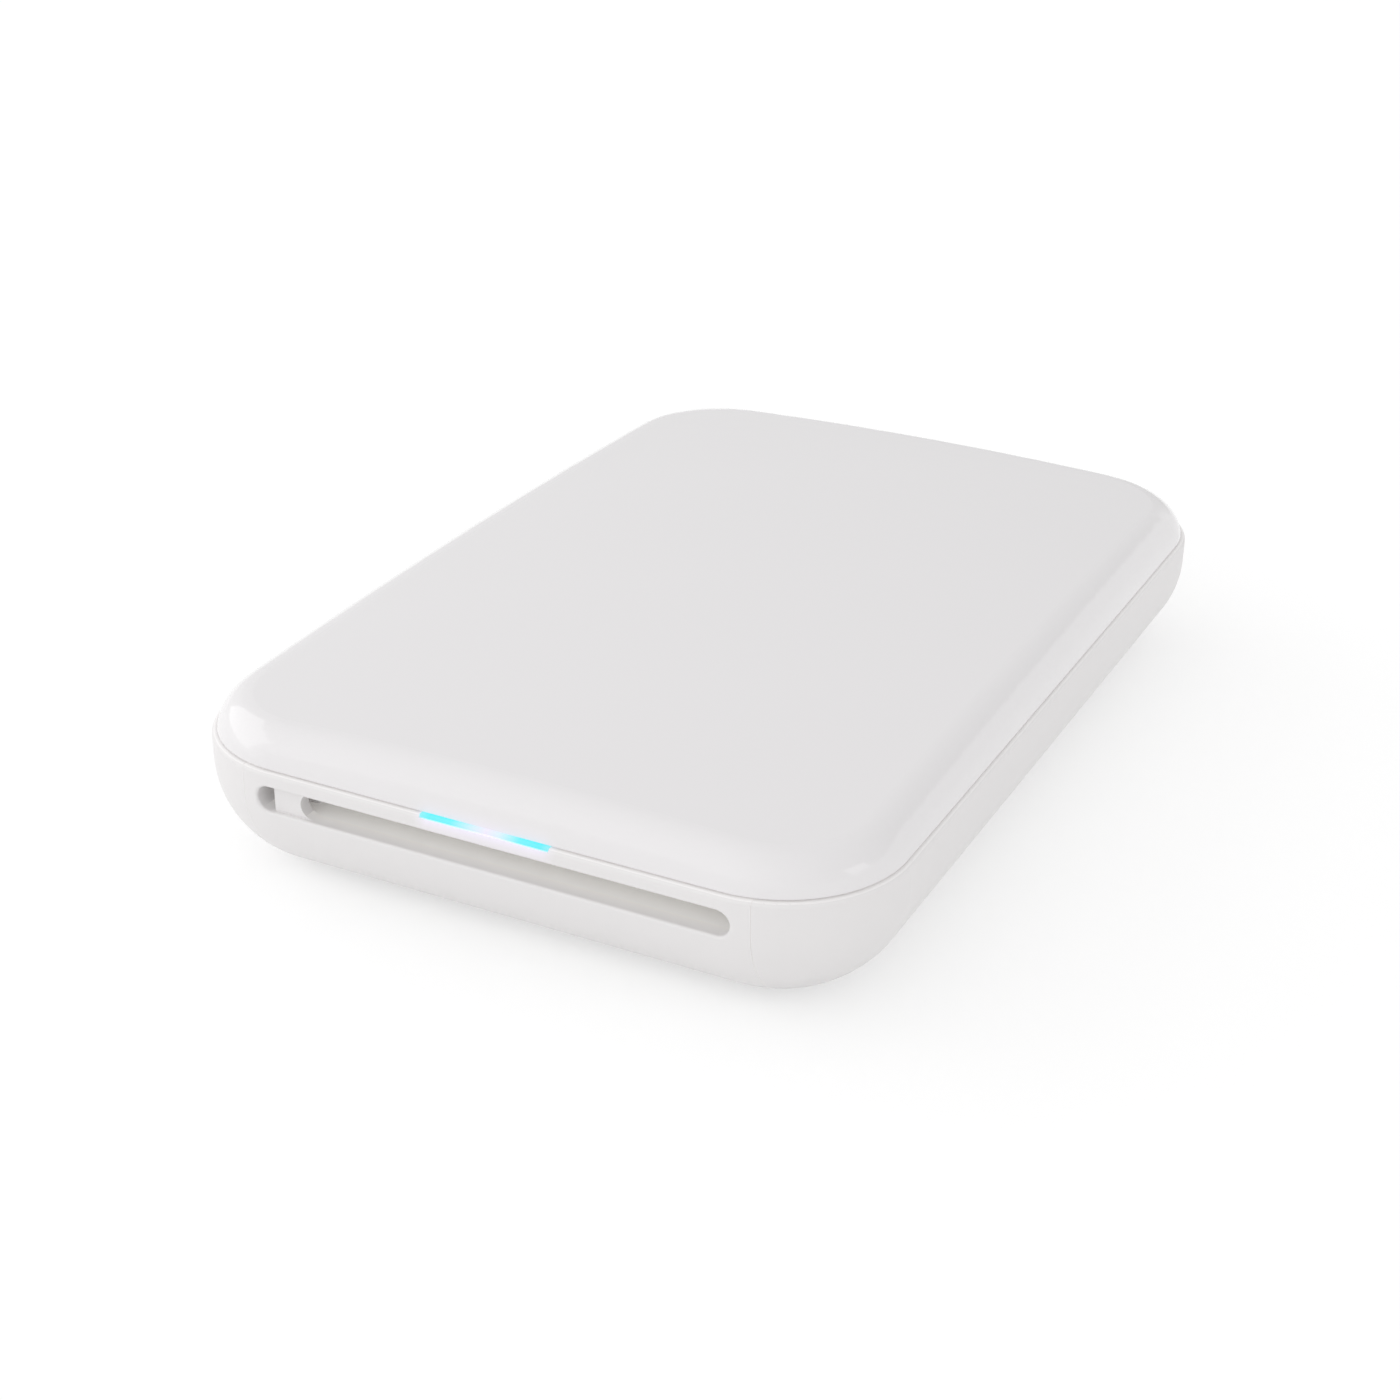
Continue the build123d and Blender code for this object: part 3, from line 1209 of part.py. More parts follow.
# Rear board with the switch, the charging inlet and the light pipe
with BuildPart() as rear_board:
    block((-rear_board_width / 2, rear_board_front_y, rear_board_z),
          (rear_board_width / 2, rear_board_front_y + rear_board_length, rear_board_top))
    for side in (-1, 1):
        post(side * rear_post_x, rear_post_y, board_screw_radius, rear_board_z - 1, rear_board_top + 1,
             mode=Mode.SUBTRACT)
save(rear_board, "rear_board")

with BuildPart() as board_screws:
    seats = [(x, y, board_top) for x, y in board_posts]
    seats += [(side * rear_post_x, rear_post_y, rear_board_top) for side in (-1, 1)]
    for x, y, seat_z in seats:
        post(x, y, board_screw_head, seat_z, seat_z + board_screw_head / 2)
        post(x, y, board_screw_radius - running_gap, seat_z - board_screw_length, seat_z)
save(board_screws, "board_screws")

port_rear = rear_y - port_setback
port_front = port_rear - port_depth
with BuildPart() as usb_port:
    with BuildSketch(Plane.XZ.offset(-port_front)):
        with Locations((port_x, port_z)):
            SlotOverall(port_width, port_height)
    extrude(amount=-port_depth)
    with BuildSketch(Plane.XZ.offset(-port_front - port_back)):
        with Locations((port_x, port_z)):
            SlotOverall(port_width - 2 * port_wall, port_height - 2 * port_wall)
            Rectangle(tongue_width, tongue_thickness, mode=Mode.SUBTRACT)
    extrude(amount=-port_depth, mode=Mode.SUBTRACT)
save(usb_port, "usb_port")

switch_rear = button_flange_y - button_travel - part_gap - plunger_length
with BuildPart() as button_switch:
    block((button_x - switch_width / 2, switch_rear - switch_length, rear_board_top),
          (button_x + switch_width / 2, switch_rear, port_z + port_height / 2))
    with Locations(Location((button_x, switch_rear + plunger_length / 2, port_z), (90, 0, 0))):
        Cylinder(plunger_radius, plunger_length)
save(button_switch, "button_switch")

with BuildPart() as power_button:
    with BuildSketch(Plane.XZ.offset(-button_flange_y)):
        with Locations((button_x, port_z)):
            SlotOverall(button_width + 2 * button_flange, button_height + 2 * button_flange)
    extrude(amount=-button_flange_thickness)
    with BuildSketch(Plane.XZ.offset(-button_flange_y)):
        with Locations((button_x, port_z)):
            SlotOverall(button_width, button_height)
    extrude(amount=-(rear_y - button_setback - button_flange_y))
    fillet(power_button.faces().sort_by(Axis.Y)[-1].edges(), button_edge_radius)
save(power_button, "power_button")

with BuildPart() as charge_light_pipe:
    pipe_length = rear_y - pipe_setback - pipe_front_y
    with Locations(Location((pipe_x, pipe_front_y + pipe_length / 2, port_z), (90, 0, 0))):
        Cylinder(pipe_radius, pipe_length)
    block((pipe_x - pipe_radius, pipe_front_y - 2 * pipe_radius, rear_board_top),
          (pipe_x + pipe_radius, pipe_front_y, port_z + pipe_radius))
save(charge_light_pipe, "charge_light_pipe")

# Flat cable between the boards, and the leads of the motor and the battery
flex_gap_y = (board_rear_y + rear_board_front_y) / 2
flex_low = board_top + flex_thickness / 2
flex_high = rear_board_top + flex_thickness / 2
with BuildPart() as flat_cable:
    with BuildLine(Plane.YZ.offset(flex_socket[0] + flex_in_socket)) as route:
        FilletPolyline((flex_socket[3], flex_low), (flex_gap_y, flex_low), (flex_gap_y, flex_high),
                       (rear_board_front_y + flex_overlap, flex_high), radius=flex_bend_radius)
    with BuildSketch(Plane.XZ.offset(-flex_socket[3])):
        with Locations((flex_socket[0] + flex_in_socket + flex_width / 2, flex_low)):
            Rectangle(flex_width, flex_thickness)
    sweep(path=route.wire())
save(flat_cable, "flat_cable")

lead_z = board_top + 1.0
with BuildPart() as motor_leads:
    motor_end_x = plate_left + motor_length + motor_cap_length
    for side in (-1, 1):
        lead_y = motor_place[0] - side * motor_lead_step
        lead_x = motor_socket[0] + motor_lead_in + side * motor_lead_step
        with BuildLine() as route:
            FilletPolyline((motor_end_x, lead_y, lead_z), (lead_x, lead_y, lead_z),
                           (lead_x, motor_socket[2], lead_z), radius=lead_bend_radius)
        with BuildSketch(Plane(origin=(motor_end_x, lead_y, lead_z), z_dir=(1, 0, 0))):
            Circle(lead_radius)
        sweep(path=route.wire())
save(motor_leads, "motor_leads")

with BuildPart() as battery_leads:
    lead_length = battery_front_y - battery_socket[3]
    for side in (-1, 1):
        lead_x = (battery_socket[0] + battery_socket[1]) / 2 + side * motor_lead_step
        with Locations(Location((lead_x, battery_socket[3] + lead_length / 2, lead_z), (90, 0, 0))):
            Cylinder(lead_radius, lead_length)
save(battery_leads, "battery_leads")

# Rubber feet in their recesses
with BuildPart() as rubber_feet:
    for place in foot_places:
        post(*place, foot_radius, 0, foot_proud + foot_recess)
save(rubber_feet, "rubber_feet")
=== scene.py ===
# %% [markdown]
# # A pocket photo printer, dressed
#
# The printer is already modelled as solids: a glossy pillow-shaped cover over a satin bowl, with
# rollers, gears, a motor, a battery and boards inside. This lesson gives those solids the finishes
# that the real pieces have, adds the small detail that solids leave out, and sets up the light and
# the camera for a picture of the result. The first step loads the solids.

# %% Load the printer's solids
import json
import math

import bmesh
import bpy
from mathutils import Matrix, Vector


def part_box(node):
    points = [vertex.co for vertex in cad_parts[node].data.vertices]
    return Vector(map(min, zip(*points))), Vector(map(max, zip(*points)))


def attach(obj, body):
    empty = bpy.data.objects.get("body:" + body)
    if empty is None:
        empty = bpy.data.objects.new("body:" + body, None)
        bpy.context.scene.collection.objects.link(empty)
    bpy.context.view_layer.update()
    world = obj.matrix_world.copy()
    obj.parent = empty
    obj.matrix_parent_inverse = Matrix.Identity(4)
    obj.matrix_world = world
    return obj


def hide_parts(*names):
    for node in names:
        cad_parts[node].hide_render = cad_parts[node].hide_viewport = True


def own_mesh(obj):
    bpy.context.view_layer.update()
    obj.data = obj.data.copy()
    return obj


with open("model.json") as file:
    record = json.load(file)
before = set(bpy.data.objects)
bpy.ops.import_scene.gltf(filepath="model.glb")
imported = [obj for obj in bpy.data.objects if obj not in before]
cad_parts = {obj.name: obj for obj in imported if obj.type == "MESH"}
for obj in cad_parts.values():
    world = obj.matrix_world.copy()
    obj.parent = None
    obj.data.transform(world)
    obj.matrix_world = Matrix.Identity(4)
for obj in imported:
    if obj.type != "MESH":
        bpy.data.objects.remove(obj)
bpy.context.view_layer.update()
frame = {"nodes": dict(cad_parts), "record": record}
nodes = frame["nodes"]
MM = 0.001

# %% [markdown]
# Every colour here is written as the hex value that a picture editor shows. Blender's shaders work
# in linear light, so one function turns a hex value into linear numbers. A second fills a node's
# sockets, each with a number or with another node's output. A third adds a node to a material: it
# takes the node's own settings and what goes into its sockets, and hands back the node, or the one
# output that is asked for. That keeps each finish short enough to read.

# %% Helpers for finishes
def linear(hex_colour):
    """The linear colour, with alpha, of an sRGB hex value such as #E6E4E5."""
    parts = [int(hex_colour.lstrip("#")[i:i + 2], 16) / 255 for i in (0, 2, 4)]
    return [c / 12.92 if c <= 0.04045 else ((c + 0.055) / 1.055) ** 2.4 for c in parts] + [1.0]


def fill(node, sockets):
    """Puts a number, a colour or another node's output into each socket, by name or by place."""
    for name, value in sockets.items():
        if isinstance(value, bpy.types.NodeSocket):
            node.id_data.links.new(value, node.inputs[name])
        else:
            node.inputs[name].default_value = value


def add_node(tree, kind, sockets=None, out=None, **settings):
    """Adds a node, sets what it is, fills its sockets, and gives it or one of its outputs back."""
    made = tree.nodes.new(kind)
    for name, value in settings.items():
        setattr(made, name, value)
    fill(made, sockets or {})
    return made if out is None else made.outputs[out]


def scale_for(size_mm):
    """A pattern's scale, from the real size of one of its features, on coordinates in metres."""
    return 1.0 / (size_mm * MM)


print("white #FFFFFF in linear light:", linear("#FFFFFF")[:3])

# %% [markdown]
# A finish is one Principled shader whose numbers come from the real material: how rough it is, how
# strongly it bends light, whether it is a metal. The next helper starts such a finish and hands back
# the tree, the shader and the coordinates of the solid, in metres, so a pattern can be given in real
# sizes. Numbers that are the same all over go straight on the shader's sockets. Every fine relief
# here is a bump whose distance is the real depth of the grain.

# %% A helper that starts a finish
def start_finish(name, hex_colour, roughness, **sockets):
    """A new material: itself, its node tree, its shader, and a point on the solid in metres."""
    finish = bpy.data.materials.new(name)
    finish.use_nodes = True
    tree = finish.node_tree
    shader = tree.nodes["Principled BSDF"]
    fill(shader, {"Base Color": linear(hex_colour), "Roughness": roughness})
    fill(shader, {socket.replace("_", " "): value for socket, value in sockets.items()})
    point = add_node(tree, "ShaderNodeTexCoord", out="Object")
    return finish, tree, shader, point


FINISHES = {}
print("finishes start empty:", FINISHES)

# %% [markdown]
# The cover is injection-moulded ABS from a polished mould. It is a warm white with a mirror-like
# skin, so a lamp shows on it as a soft bright patch with a clear edge. Polished ABS is never quite
# flat: it carries a very faint waviness, called orange peel, a few millimetres across. A noise
# texture of that size, pressed in by a few thousandths of a millimetre, gives it.

# %% Glossy cover: ABS from a polished mould
def polished_abs():
    finish, tree, shader, point = start_finish("polished_white_abs", "#E9E7E8", 0.1, IOR=1.5)
    peel = add_node(tree, "ShaderNodeTexNoise", {
        "Vector": point, "Scale": scale_for(3.5), "Detail": 1.0, "Roughness": 0.4}, "Fac")
    relief = add_node(tree, "ShaderNodeBump", {"Height": peel, "Distance": 0.004 * MM}, "Normal")
    fill(shader, {"Normal": relief, "Coat Weight": 0.5, "Coat Roughness": 0.03})
    return finish


FINISHES["gloss_shell"] = polished_abs()
print("cover finish:", FINISHES["gloss_shell"].name)

# %% [markdown]
# The lower case, its front panel and the power button are the same ABS from a mould that was etched
# to a fine satin. The grain of such a mould is about 0.15 mm, too fine to show here, so it is drawn
# at 0.3 mm. It breaks the reflections up, and the white looks softer and a touch greyer than the
# cover. A second, wide noise varies the roughness a little, as handling does.

# %% Satin case: ABS from an etched mould
HANDLED_MM, HANDLED_SPREAD = 25.0, 0.05


def etched_abs(name, hex_colour, roughness, grain_mm=0.3, depth_mm=0.006):
    finish, tree, shader, point = start_finish(name, hex_colour, roughness, IOR=1.5)
    grain = add_node(tree, "ShaderNodeTexNoise", {
        "Vector": point, "Scale": scale_for(grain_mm), "Detail": 2.0, "Roughness": 0.6}, "Fac")
    relief = add_node(tree, "ShaderNodeBump", {"Height": grain, "Distance": depth_mm * MM}, "Normal")
    handled = add_node(tree, "ShaderNodeTexNoise", {
        "Vector": point, "Scale": scale_for(HANDLED_MM), "Detail": 2.0}, "Fac")
    spread = add_node(tree, "ShaderNodeMapRange", {
        "Value": handled, "To Min": roughness - HANDLED_SPREAD, "To Max": roughness + HANDLED_SPREAD},
        "Result")
    fill(shader, {"Normal": relief, "Roughness": spread})
    return finish


SATIN_WHITE, SATIN_ROUGHNESS = "#E8E6E6", 0.42
FINISHES["satin_shell"] = etched_abs("satin_white_abs", SATIN_WHITE, SATIN_ROUGHNESS)
FINISHES["inner_plastic"] = etched_abs("matt_white_abs", "#E4E3E0", 0.55, grain_mm=0.4,
                                       depth_mm=0.01)
FINISHES["dark_plastic"] = etched_abs("glass_filled_nylon", "#232427", 0.5, grain_mm=0.35,
                                      depth_mm=0.015)
print("etched finishes:", [finish.name for finish in FINISHES.values()][1:])

# %% [markdown]
# Gears for quiet small machines are moulded in acetal, a milky cream plastic that lets light in a
# little way and slides well. A small amount of light spreading under the skin gives that milkiness,
# and a fine relief gives the dull shine of a moulded tooth.

# %% Gears: moulded acetal
def moulded_acetal():
    finish, tree, shader, point = start_finish("moulded_acetal", "#E3DFD2", 0.35, IOR=1.48)
    fill(shader, {"Subsurface Weight": 0.15, "Subsurface Scale": 1.0,
                  "Subsurface Radius": (0.8 * MM, 0.7 * MM, 0.5 * MM)})
    flow = add_node(tree, "ShaderNodeTexNoise",
                    {"Vector": point, "Scale": scale_for(0.8), "Detail": 3.0}, "Fac")
    relief = add_node(tree, "ShaderNodeBump", {"Height": flow, "Distance": 0.006 * MM}, "Normal")
    fill(shader, {"Normal": relief})
    return finish


FINISHES["gear_plastic"] = moulded_acetal()
print("gear finish:", FINISHES["gear_plastic"].name)

# %% [markdown]
# The light guide in the seam is a milky strip of polycarbonate lit from behind by small lamps. Its
# colour runs from a clear cyan at both ends to a white with a touch of lilac in the middle, where the
# lamps overlap. The glow is the shader's own emission, coloured along the strip by a colour ramp that
# runs over the strip's real width. The plastic itself is kept dark, so the glow alone sets the
# colour and never washes out to white.

# %% Light guide: lit polycarbonate
guide_low, guide_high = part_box("light_guide")
GLOW_STOPS = ((0.0, "#8AF0F6"), (0.07, "#5CF1F8"), (0.24, "#66F3FA"), (0.42, "#D6EFFB"),
              (0.52, "#F1E9FB"), (0.62, "#DDF0FC"), (0.78, "#68F2FA"), (0.94, "#58EFF8"),
              (1.0, "#8CEFF5"))
GLOW = 0.92


def lit_polycarbonate():
    finish, tree, shader, point = start_finish("lit_milky_polycarbonate", "#3A474C", 0.4, IOR=1.58)
    across = add_node(tree, "ShaderNodeSeparateXYZ", {"Vector": point}, "X")
    share = add_node(tree, "ShaderNodeMapRange", {
        "Value": across, "From Min": guide_low.x, "From Max": guide_high.x}, "Result")
    ramp = add_node(tree, "ShaderNodeValToRGB", {"Fac": share})
    stops = ramp.color_ramp.elements
    stops[0].position, stops[0].color = GLOW_STOPS[0][0], linear(GLOW_STOPS[0][1])
    stops[1].position, stops[1].color = GLOW_STOPS[-1][0], linear(GLOW_STOPS[-1][1])
    for place, colour in GLOW_STOPS[1:-1]:
        stops.new(place).color = linear(colour)
    fill(shader, {"Emission Color": ramp.outputs["Color"], "Emission Strength": GLOW})
    return finish


FINISHES["light_guide"] = lit_polycarbonate()
print("light guide is", round((guide_high.x - guide_low.x) / MM, 1), "mm wide")

# %% [markdown]
# White ABS is a little clear. Light that enters it spreads under the skin and comes out again
# nearby. Here that light is painted, as an emission in the finish, in three places: a faint lilac
# halo beside the lit strip, a pale grey in place of the black shade in the narrow seams, and a bright
# floor in the paper exit, which lies deep in shade. Following every ray through thin walls takes
# long, so each place gets this painted light instead. It depends only on the place on the solid and
# on which way the surface faces, so it stays put from every side. The next helper adds one such
# painted light to a finish, on top of those that it already has.

# %% Helpers for painted light in place of light through thin white walls
LIKE_ENOUGH = 0.8
FACING = {"X": (1.0, 0.0, 0.0), "Z": (0.0, 0.0, 1.0)}


def add_painted_light(finish, amounts, strength, hex_colour):
    """Adds painted light, an emission of one colour, to a finish: the strength, times each amount that
    a node gives.
    """
    tree = finish.node_tree
    shader = tree.nodes["Principled BSDF"]
    for amount in amounts:
        strength = add_node(tree, "ShaderNodeMath",
                            {0: amount, 1: strength}, "Value", operation="MULTIPLY")
    # Painted light: an emission colour added to the finish, not a lamp.
    light = add_node(tree, "ShaderNodeVectorMath", {0: linear(hex_colour)[:3], "Scale": strength},
                     "Vector", operation="SCALE")
    if shader.inputs["Emission Color"].is_linked:
        before = shader.inputs["Emission Color"].links[0].from_socket
        light = add_node(tree, "ShaderNodeVectorMath",
                         {0: before, 1: light}, "Vector", operation="ADD")
    fill(shader, {"Emission Color": light, "Emission Strength": 1.0})


def faces_along(tree, axis):
    """One on faces that look along an axis, either way, and zero on the others."""
    normal = add_node(tree, "ShaderNodeTexCoord", out="Normal")
    along = add_node(tree, "ShaderNodeVectorMath", {0: normal, 1: FACING[axis]}, "Value",
                     operation="DOT_PRODUCT")
    size = add_node(tree, "ShaderNodeMath", {0: along}, "Value", operation="ABSOLUTE")
    return add_node(tree, "ShaderNodeMath",
                    {0: size, 1: LIKE_ENOUGH}, "Value", operation="GREATER_THAN")


print("faces count as facing an axis within", round(math.degrees(math.acos(LIKE_ENOUGH))), "degrees")

# %% [markdown]
# The halo is painted light: an emission on the cover and the front panel that fades with the
# distance from the lit strip. The nearest point of the strip is found by holding the place across
# between the strip's ends, and the distance to it becomes an amount that falls to nothing 2.4 mm
# away. It counts twice, so the light drops fast at first and then slowly. The front panel gets a
# finish of its own for this, a copy of the satin white, because its painted halo and the painted
# light in its paper exit belong to no other piece.

# %% The painted halo round the light guide
HALO_MM = 2.4
HALO_PAINT_COLOUR = "#CDB4FF"


def add_painted_halo(finish, strength):
    tree = finish.node_tree
    point = add_node(tree, "ShaderNodeTexCoord", out="Object")
    across = add_node(tree, "ShaderNodeSeparateXYZ", {"Vector": point}, "X")
    held = add_node(tree, "ShaderNodeClamp", {
        "Value": across, "Min": guide_low.x + MM, "Max": guide_high.x - MM}, "Result")
    nearest = add_node(tree, "ShaderNodeCombineXYZ", {
        "X": held, "Y": guide_low.y, "Z": (guide_low.z + guide_high.z) / 2}, "Vector")
    away = add_node(tree, "ShaderNodeVectorMath", {0: point, 1: nearest}, "Value",
                    operation="DISTANCE")
    fade = add_node(tree, "ShaderNodeMapRange", {
        "Value": away, "From Max": HALO_MM * MM, "To Min": 1.0, "To Max": 0.0}, "Result")
    # Painted light: the halo is an emission on the shell, weaker away from the strip.
    add_painted_light(finish, (fade, fade), strength, HALO_PAINT_COLOUR)


FINISHES["front_panel"] = etched_abs("satin_white_abs_panel", SATIN_WHITE, SATIN_ROUGHNESS)
# The painted halo goes on the cover and on the front panel.
add_painted_halo(FINISHES["gloss_shell"], strength=0.16)
add_painted_halo(FINISHES["front_panel"], strength=0.28)
print("halo in mm:", HALO_MM)

# %% [markdown]
# The paper exit is a deep slot. Its floor and roof read as a pale, slightly warm grey, since its
# white walls pass the light on to each other and let some through from behind. That light is
# painted: from 0.6 mm inside the panel's face the floor and roof get a paler base colour, which is
# painted light and not the plastic's own colour, and a faint painted emission.

# %% Painted light inside the paper exit: a paler base colour and an emission
panel_low, panel_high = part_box("front_panel")
PALE_FROM_MM, PALE_TO_MM = 0.6, 2.4
# The paler white and its light here are painted light, lifting the shade deep in the slot.
SLOT_PAINTED_WHITE, SLOT_PAINTED_GLOW, SLOT_PAINTED_STRENGTH = "#FDFCFA", "#FFFBF6", 0.06


def paint_light_inside(finish):
    tree = finish.node_tree
    point = add_node(tree, "ShaderNodeTexCoord", out="Object")
    along = add_node(tree, "ShaderNodeSeparateXYZ", {"Vector": point}, "Y")
    inside = add_node(tree, "ShaderNodeMapRange", {
        "Value": along, "From Min": panel_low.y + PALE_FROM_MM * MM,
        "From Max": panel_low.y + PALE_TO_MM * MM}, "Result")
    level = faces_along(tree, "Z")
    share = add_node(tree, "ShaderNodeMath", {0: inside, 1: level}, "Value", operation="MULTIPLY")
    # Painted light: a paler base colour on the slot's floor and roof, where shade falls.
    tone = add_node(tree, "ShaderNodeMix",
                    {0: share, 6: linear(SATIN_WHITE), 7: linear(SLOT_PAINTED_WHITE)}, 2,
                    data_type="RGBA")
    fill(tree.nodes["Principled BSDF"], {"Base Color": tone})
    add_painted_light(finish, (share,), SLOT_PAINTED_STRENGTH, SLOT_PAINTED_GLOW)


paint_light_inside(FINISHES["front_panel"])
print("front panel starts at y in mm:", round(panel_low.y / MM, 2))

# %% [markdown]
# The seam round the case is 0.2 mm wide, and the joints beside the front panel are finer still.
# On white plastic such a gap is a soft grey line, not a black one, so the shade inside each gap is
# lifted with painted light, an emission in the finish. The faces inside a gap are found by two tests:
# the face lies within a fraction of a millimetre of the gap's middle, and it faces along the gap's
# width, up or down in the seam and sideways in the panel's joints.

# %% Painted light in the seam and in the panel's joints
seam_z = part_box("lower_housing")[1].z
# These strengths are painted light that lifts the shade inside the seam and the joints.
SEAM_REACH_MM, SEAM_PAINTED_LIGHT = 0.7, 0.095
JOINT_REACH_MM, JOINT_PAINTED_LIGHT = 0.12, 0.14


def paint_gap_light(finish, axis, middle, reach_mm, strength):
    tree = finish.node_tree
    point = add_node(tree, "ShaderNodeTexCoord", out="Object")
    place = add_node(tree, "ShaderNodeSeparateXYZ", {"Vector": point}, axis)
    off = add_node(tree, "ShaderNodeMath", {0: place, 1: middle}, "Value", operation="SUBTRACT")
    away = add_node(tree, "ShaderNodeMath", {0: off}, "Value", operation="ABSOLUTE")
    near = add_node(tree, "ShaderNodeMath",
                    {0: away, 1: reach_mm * MM}, "Value", operation="LESS_THAN")
    add_painted_light(finish, (near, faces_along(tree, axis)), strength, "#FFFDFA")


# Painted light in the seam goes on the four white finishes, and in the joints on the case and panel.
for name in ("gloss_shell", "satin_shell", "front_panel", "inner_plastic"):
    paint_gap_light(FINISHES[name], "Z", seam_z, SEAM_REACH_MM, SEAM_PAINTED_LIGHT)
for name in ("satin_shell", "front_panel"):
    for edge in (panel_low.x, panel_high.x):
        paint_gap_light(FINISHES[name], "X", edge, JOINT_REACH_MM, JOINT_PAINTED_LIGHT)
print("seam height in mm:", round(seam_z / MM, 2))

# %% [markdown]
# Sheet steel for the side plates, shafts and screws is zinc-plated: a cool grey metal with a faint
# cloudiness and the fine lines of rolling or turning. A noise stretched along one direction makes
# lines, and stretching it less makes clouds. Metals keep the shader's own bending of light and get
# their look from colour and roughness alone.

# %% Plated and drawn steel
LINE_SPREAD = 0.08


def lined_metal(name, hex_colour, roughness, line_mm, stretch=(0.04, 1.0, 1.0), depth_mm=0.003):
    """A metal with fine lines along the axis whose stretch is small."""
    finish, tree, shader, point = start_finish(name, hex_colour, roughness, Metallic=1.0)
    along = add_node(tree, "ShaderNodeMapping", {"Vector": point, "Scale": stretch}, "Vector")
    lines = add_node(tree, "ShaderNodeTexNoise", {
        "Vector": along, "Scale": scale_for(line_mm), "Detail": 3.0}, "Fac")
    relief = add_node(tree, "ShaderNodeBump", {"Height": lines, "Distance": depth_mm * MM}, "Normal")
    spread = add_node(tree, "ShaderNodeMapRange", {
        "Value": lines, "To Min": roughness - LINE_SPREAD, "To Max": roughness + LINE_SPREAD},
        "Result")
    fill(shader, {"Normal": relief, "Roughness": spread})
    return finish


FINISHES["steel"] = lined_metal("zinc_plated_steel", "#C3C4C6", 0.32, 0.15)
FINISHES["spring_steel"] = lined_metal("drawn_spring_steel", "#A3A4A6", 0.28, 0.1)
FINISHES["aluminium"] = lined_metal("extruded_aluminium", "#C9CBCD", 0.36, 0.12)
FINISHES["brass"] = lined_metal("turned_brass", "#D8B26A", 0.25, 0.1, stretch=(1.0, 0.1, 0.1))
print("lined metals:", [FINISHES[s].name for s in ("steel", "spring_steel", "aluminium", "brass")])

# %% [markdown]
# Two metals are smooth instead. The motor's can and the magnets are nickel-plated, bright and
# slightly yellow. The roller bushings are sintered bronze: bronze powder pressed and baked, with
# pores of about 0.1 mm that hold oil. A Voronoi texture gives round pores of a known size.

# %% Nickel plate and sintered bronze
def nickel_plate():
    finish, tree, shader, point = start_finish("nickel_plate", "#CFCBC3", 0.16, Metallic=1.0)
    cloud = add_node(tree, "ShaderNodeTexNoise",
                     {"Vector": point, "Scale": scale_for(2.0), "Detail": 2.0}, "Fac")
    relief = add_node(tree, "ShaderNodeBump", {"Height": cloud, "Distance": 0.002 * MM}, "Normal")
    fill(shader, {"Normal": relief})
    return finish


def sintered_bronze():
    finish, tree, shader, point = start_finish("sintered_bronze", "#B98A52", 0.42, Metallic=1.0)
    pores = add_node(tree, "ShaderNodeTexVoronoi",
                     {"Vector": point, "Scale": scale_for(0.12)}, "Distance")
    relief = add_node(tree, "ShaderNodeBump", {"Height": pores, "Distance": 0.01 * MM}, "Normal")
    fill(shader, {"Normal": relief})
    return finish


FINISHES["nickel"] = nickel_plate()
FINISHES["bronze"] = sintered_bronze()
print("smooth metals:", FINISHES["nickel"].name, FINISHES["bronze"].name)

# %% [markdown]
# The rollers are ground rubber: after moulding, a stone wheel takes the rubber to size and leaves
# fine rings round it, about 0.2 mm apart, with a dry matt surface between them. Rings that fine
# don't show, so a wave texture along the roller's length draws them 1.6 mm apart. Such a texture
# turns by 20 radians over one unit, so it gets the length of one radian instead of a whole ring.
# The foam pads are softer and more open, so they take a cell pattern.

# %% Ground rubber and closed-cell foam
WAVE_RADIANS = 20.0
RING_RADIAN_MM = 0.25


def ground_rubber():
    finish, tree, shader, point = start_finish("ground_rubber", "#2B2B2D", 0.75, IOR=1.52)
    rings = add_node(tree, "ShaderNodeTexWave", {
        "Vector": point, "Scale": scale_for(RING_RADIAN_MM) / WAVE_RADIANS, "Distortion": 0.6,
        "Detail": 2.0}, "Fac", bands_direction="X")
    relief = add_node(tree, "ShaderNodeBump", {"Height": rings, "Distance": 0.008 * MM}, "Normal")
    fill(shader, {"Normal": relief})
    return finish


def closed_cell_foam():
    finish, tree, shader, point = start_finish("closed_cell_foam", "#333335", 0.9, IOR=1.45)
    cells = add_node(tree, "ShaderNodeTexVoronoi",
                     {"Vector": point, "Scale": scale_for(0.35)}, "Distance")
    relief = add_node(tree, "ShaderNodeBump", {"Height": cells, "Distance": 0.05 * MM}, "Normal")
    fill(shader, {"Normal": relief})
    return finish


FINISHES["rubber"] = ground_rubber()
FINISHES["foam_tape"] = closed_cell_foam()
print("soft finishes:", FINISHES["rubber"].name, FINISHES["foam_tape"].name)

# %% [markdown]
# A circuit board is glass fibre under a thin green varnish. The copper lies under the varnish and
# shows as lighter green areas whose edges run square to each other. A brick texture has such a
# square layout: its mortar becomes the gaps between the copper areas, about 0.5 mm wide. The
# varnish over them is smooth and shiny. The parts on the board are black moulded epoxy with a fine
# even grain.

# %% Circuit board and its moulded parts
BRICK_UNIT_MM = 2.0


def green_board():
    finish, tree, shader, point = start_finish("green_varnished_board", "#0F4A2C", 0.3, IOR=1.55)
    tracks = add_node(tree, "ShaderNodeTexBrick", {
        "Vector": point, "Scale": scale_for(BRICK_UNIT_MM), "Brick Width": 1.7, "Row Height": 0.45,
        "Mortar Size": 0.12, "Mortar Smooth": 0.2, "Mortar": linear("#0E4428"),
        "Color1": linear("#1B6B42"), "Color2": linear("#17613B")}, "Color", offset=0.37)
    fill(shader, {"Base Color": tracks})
    return finish


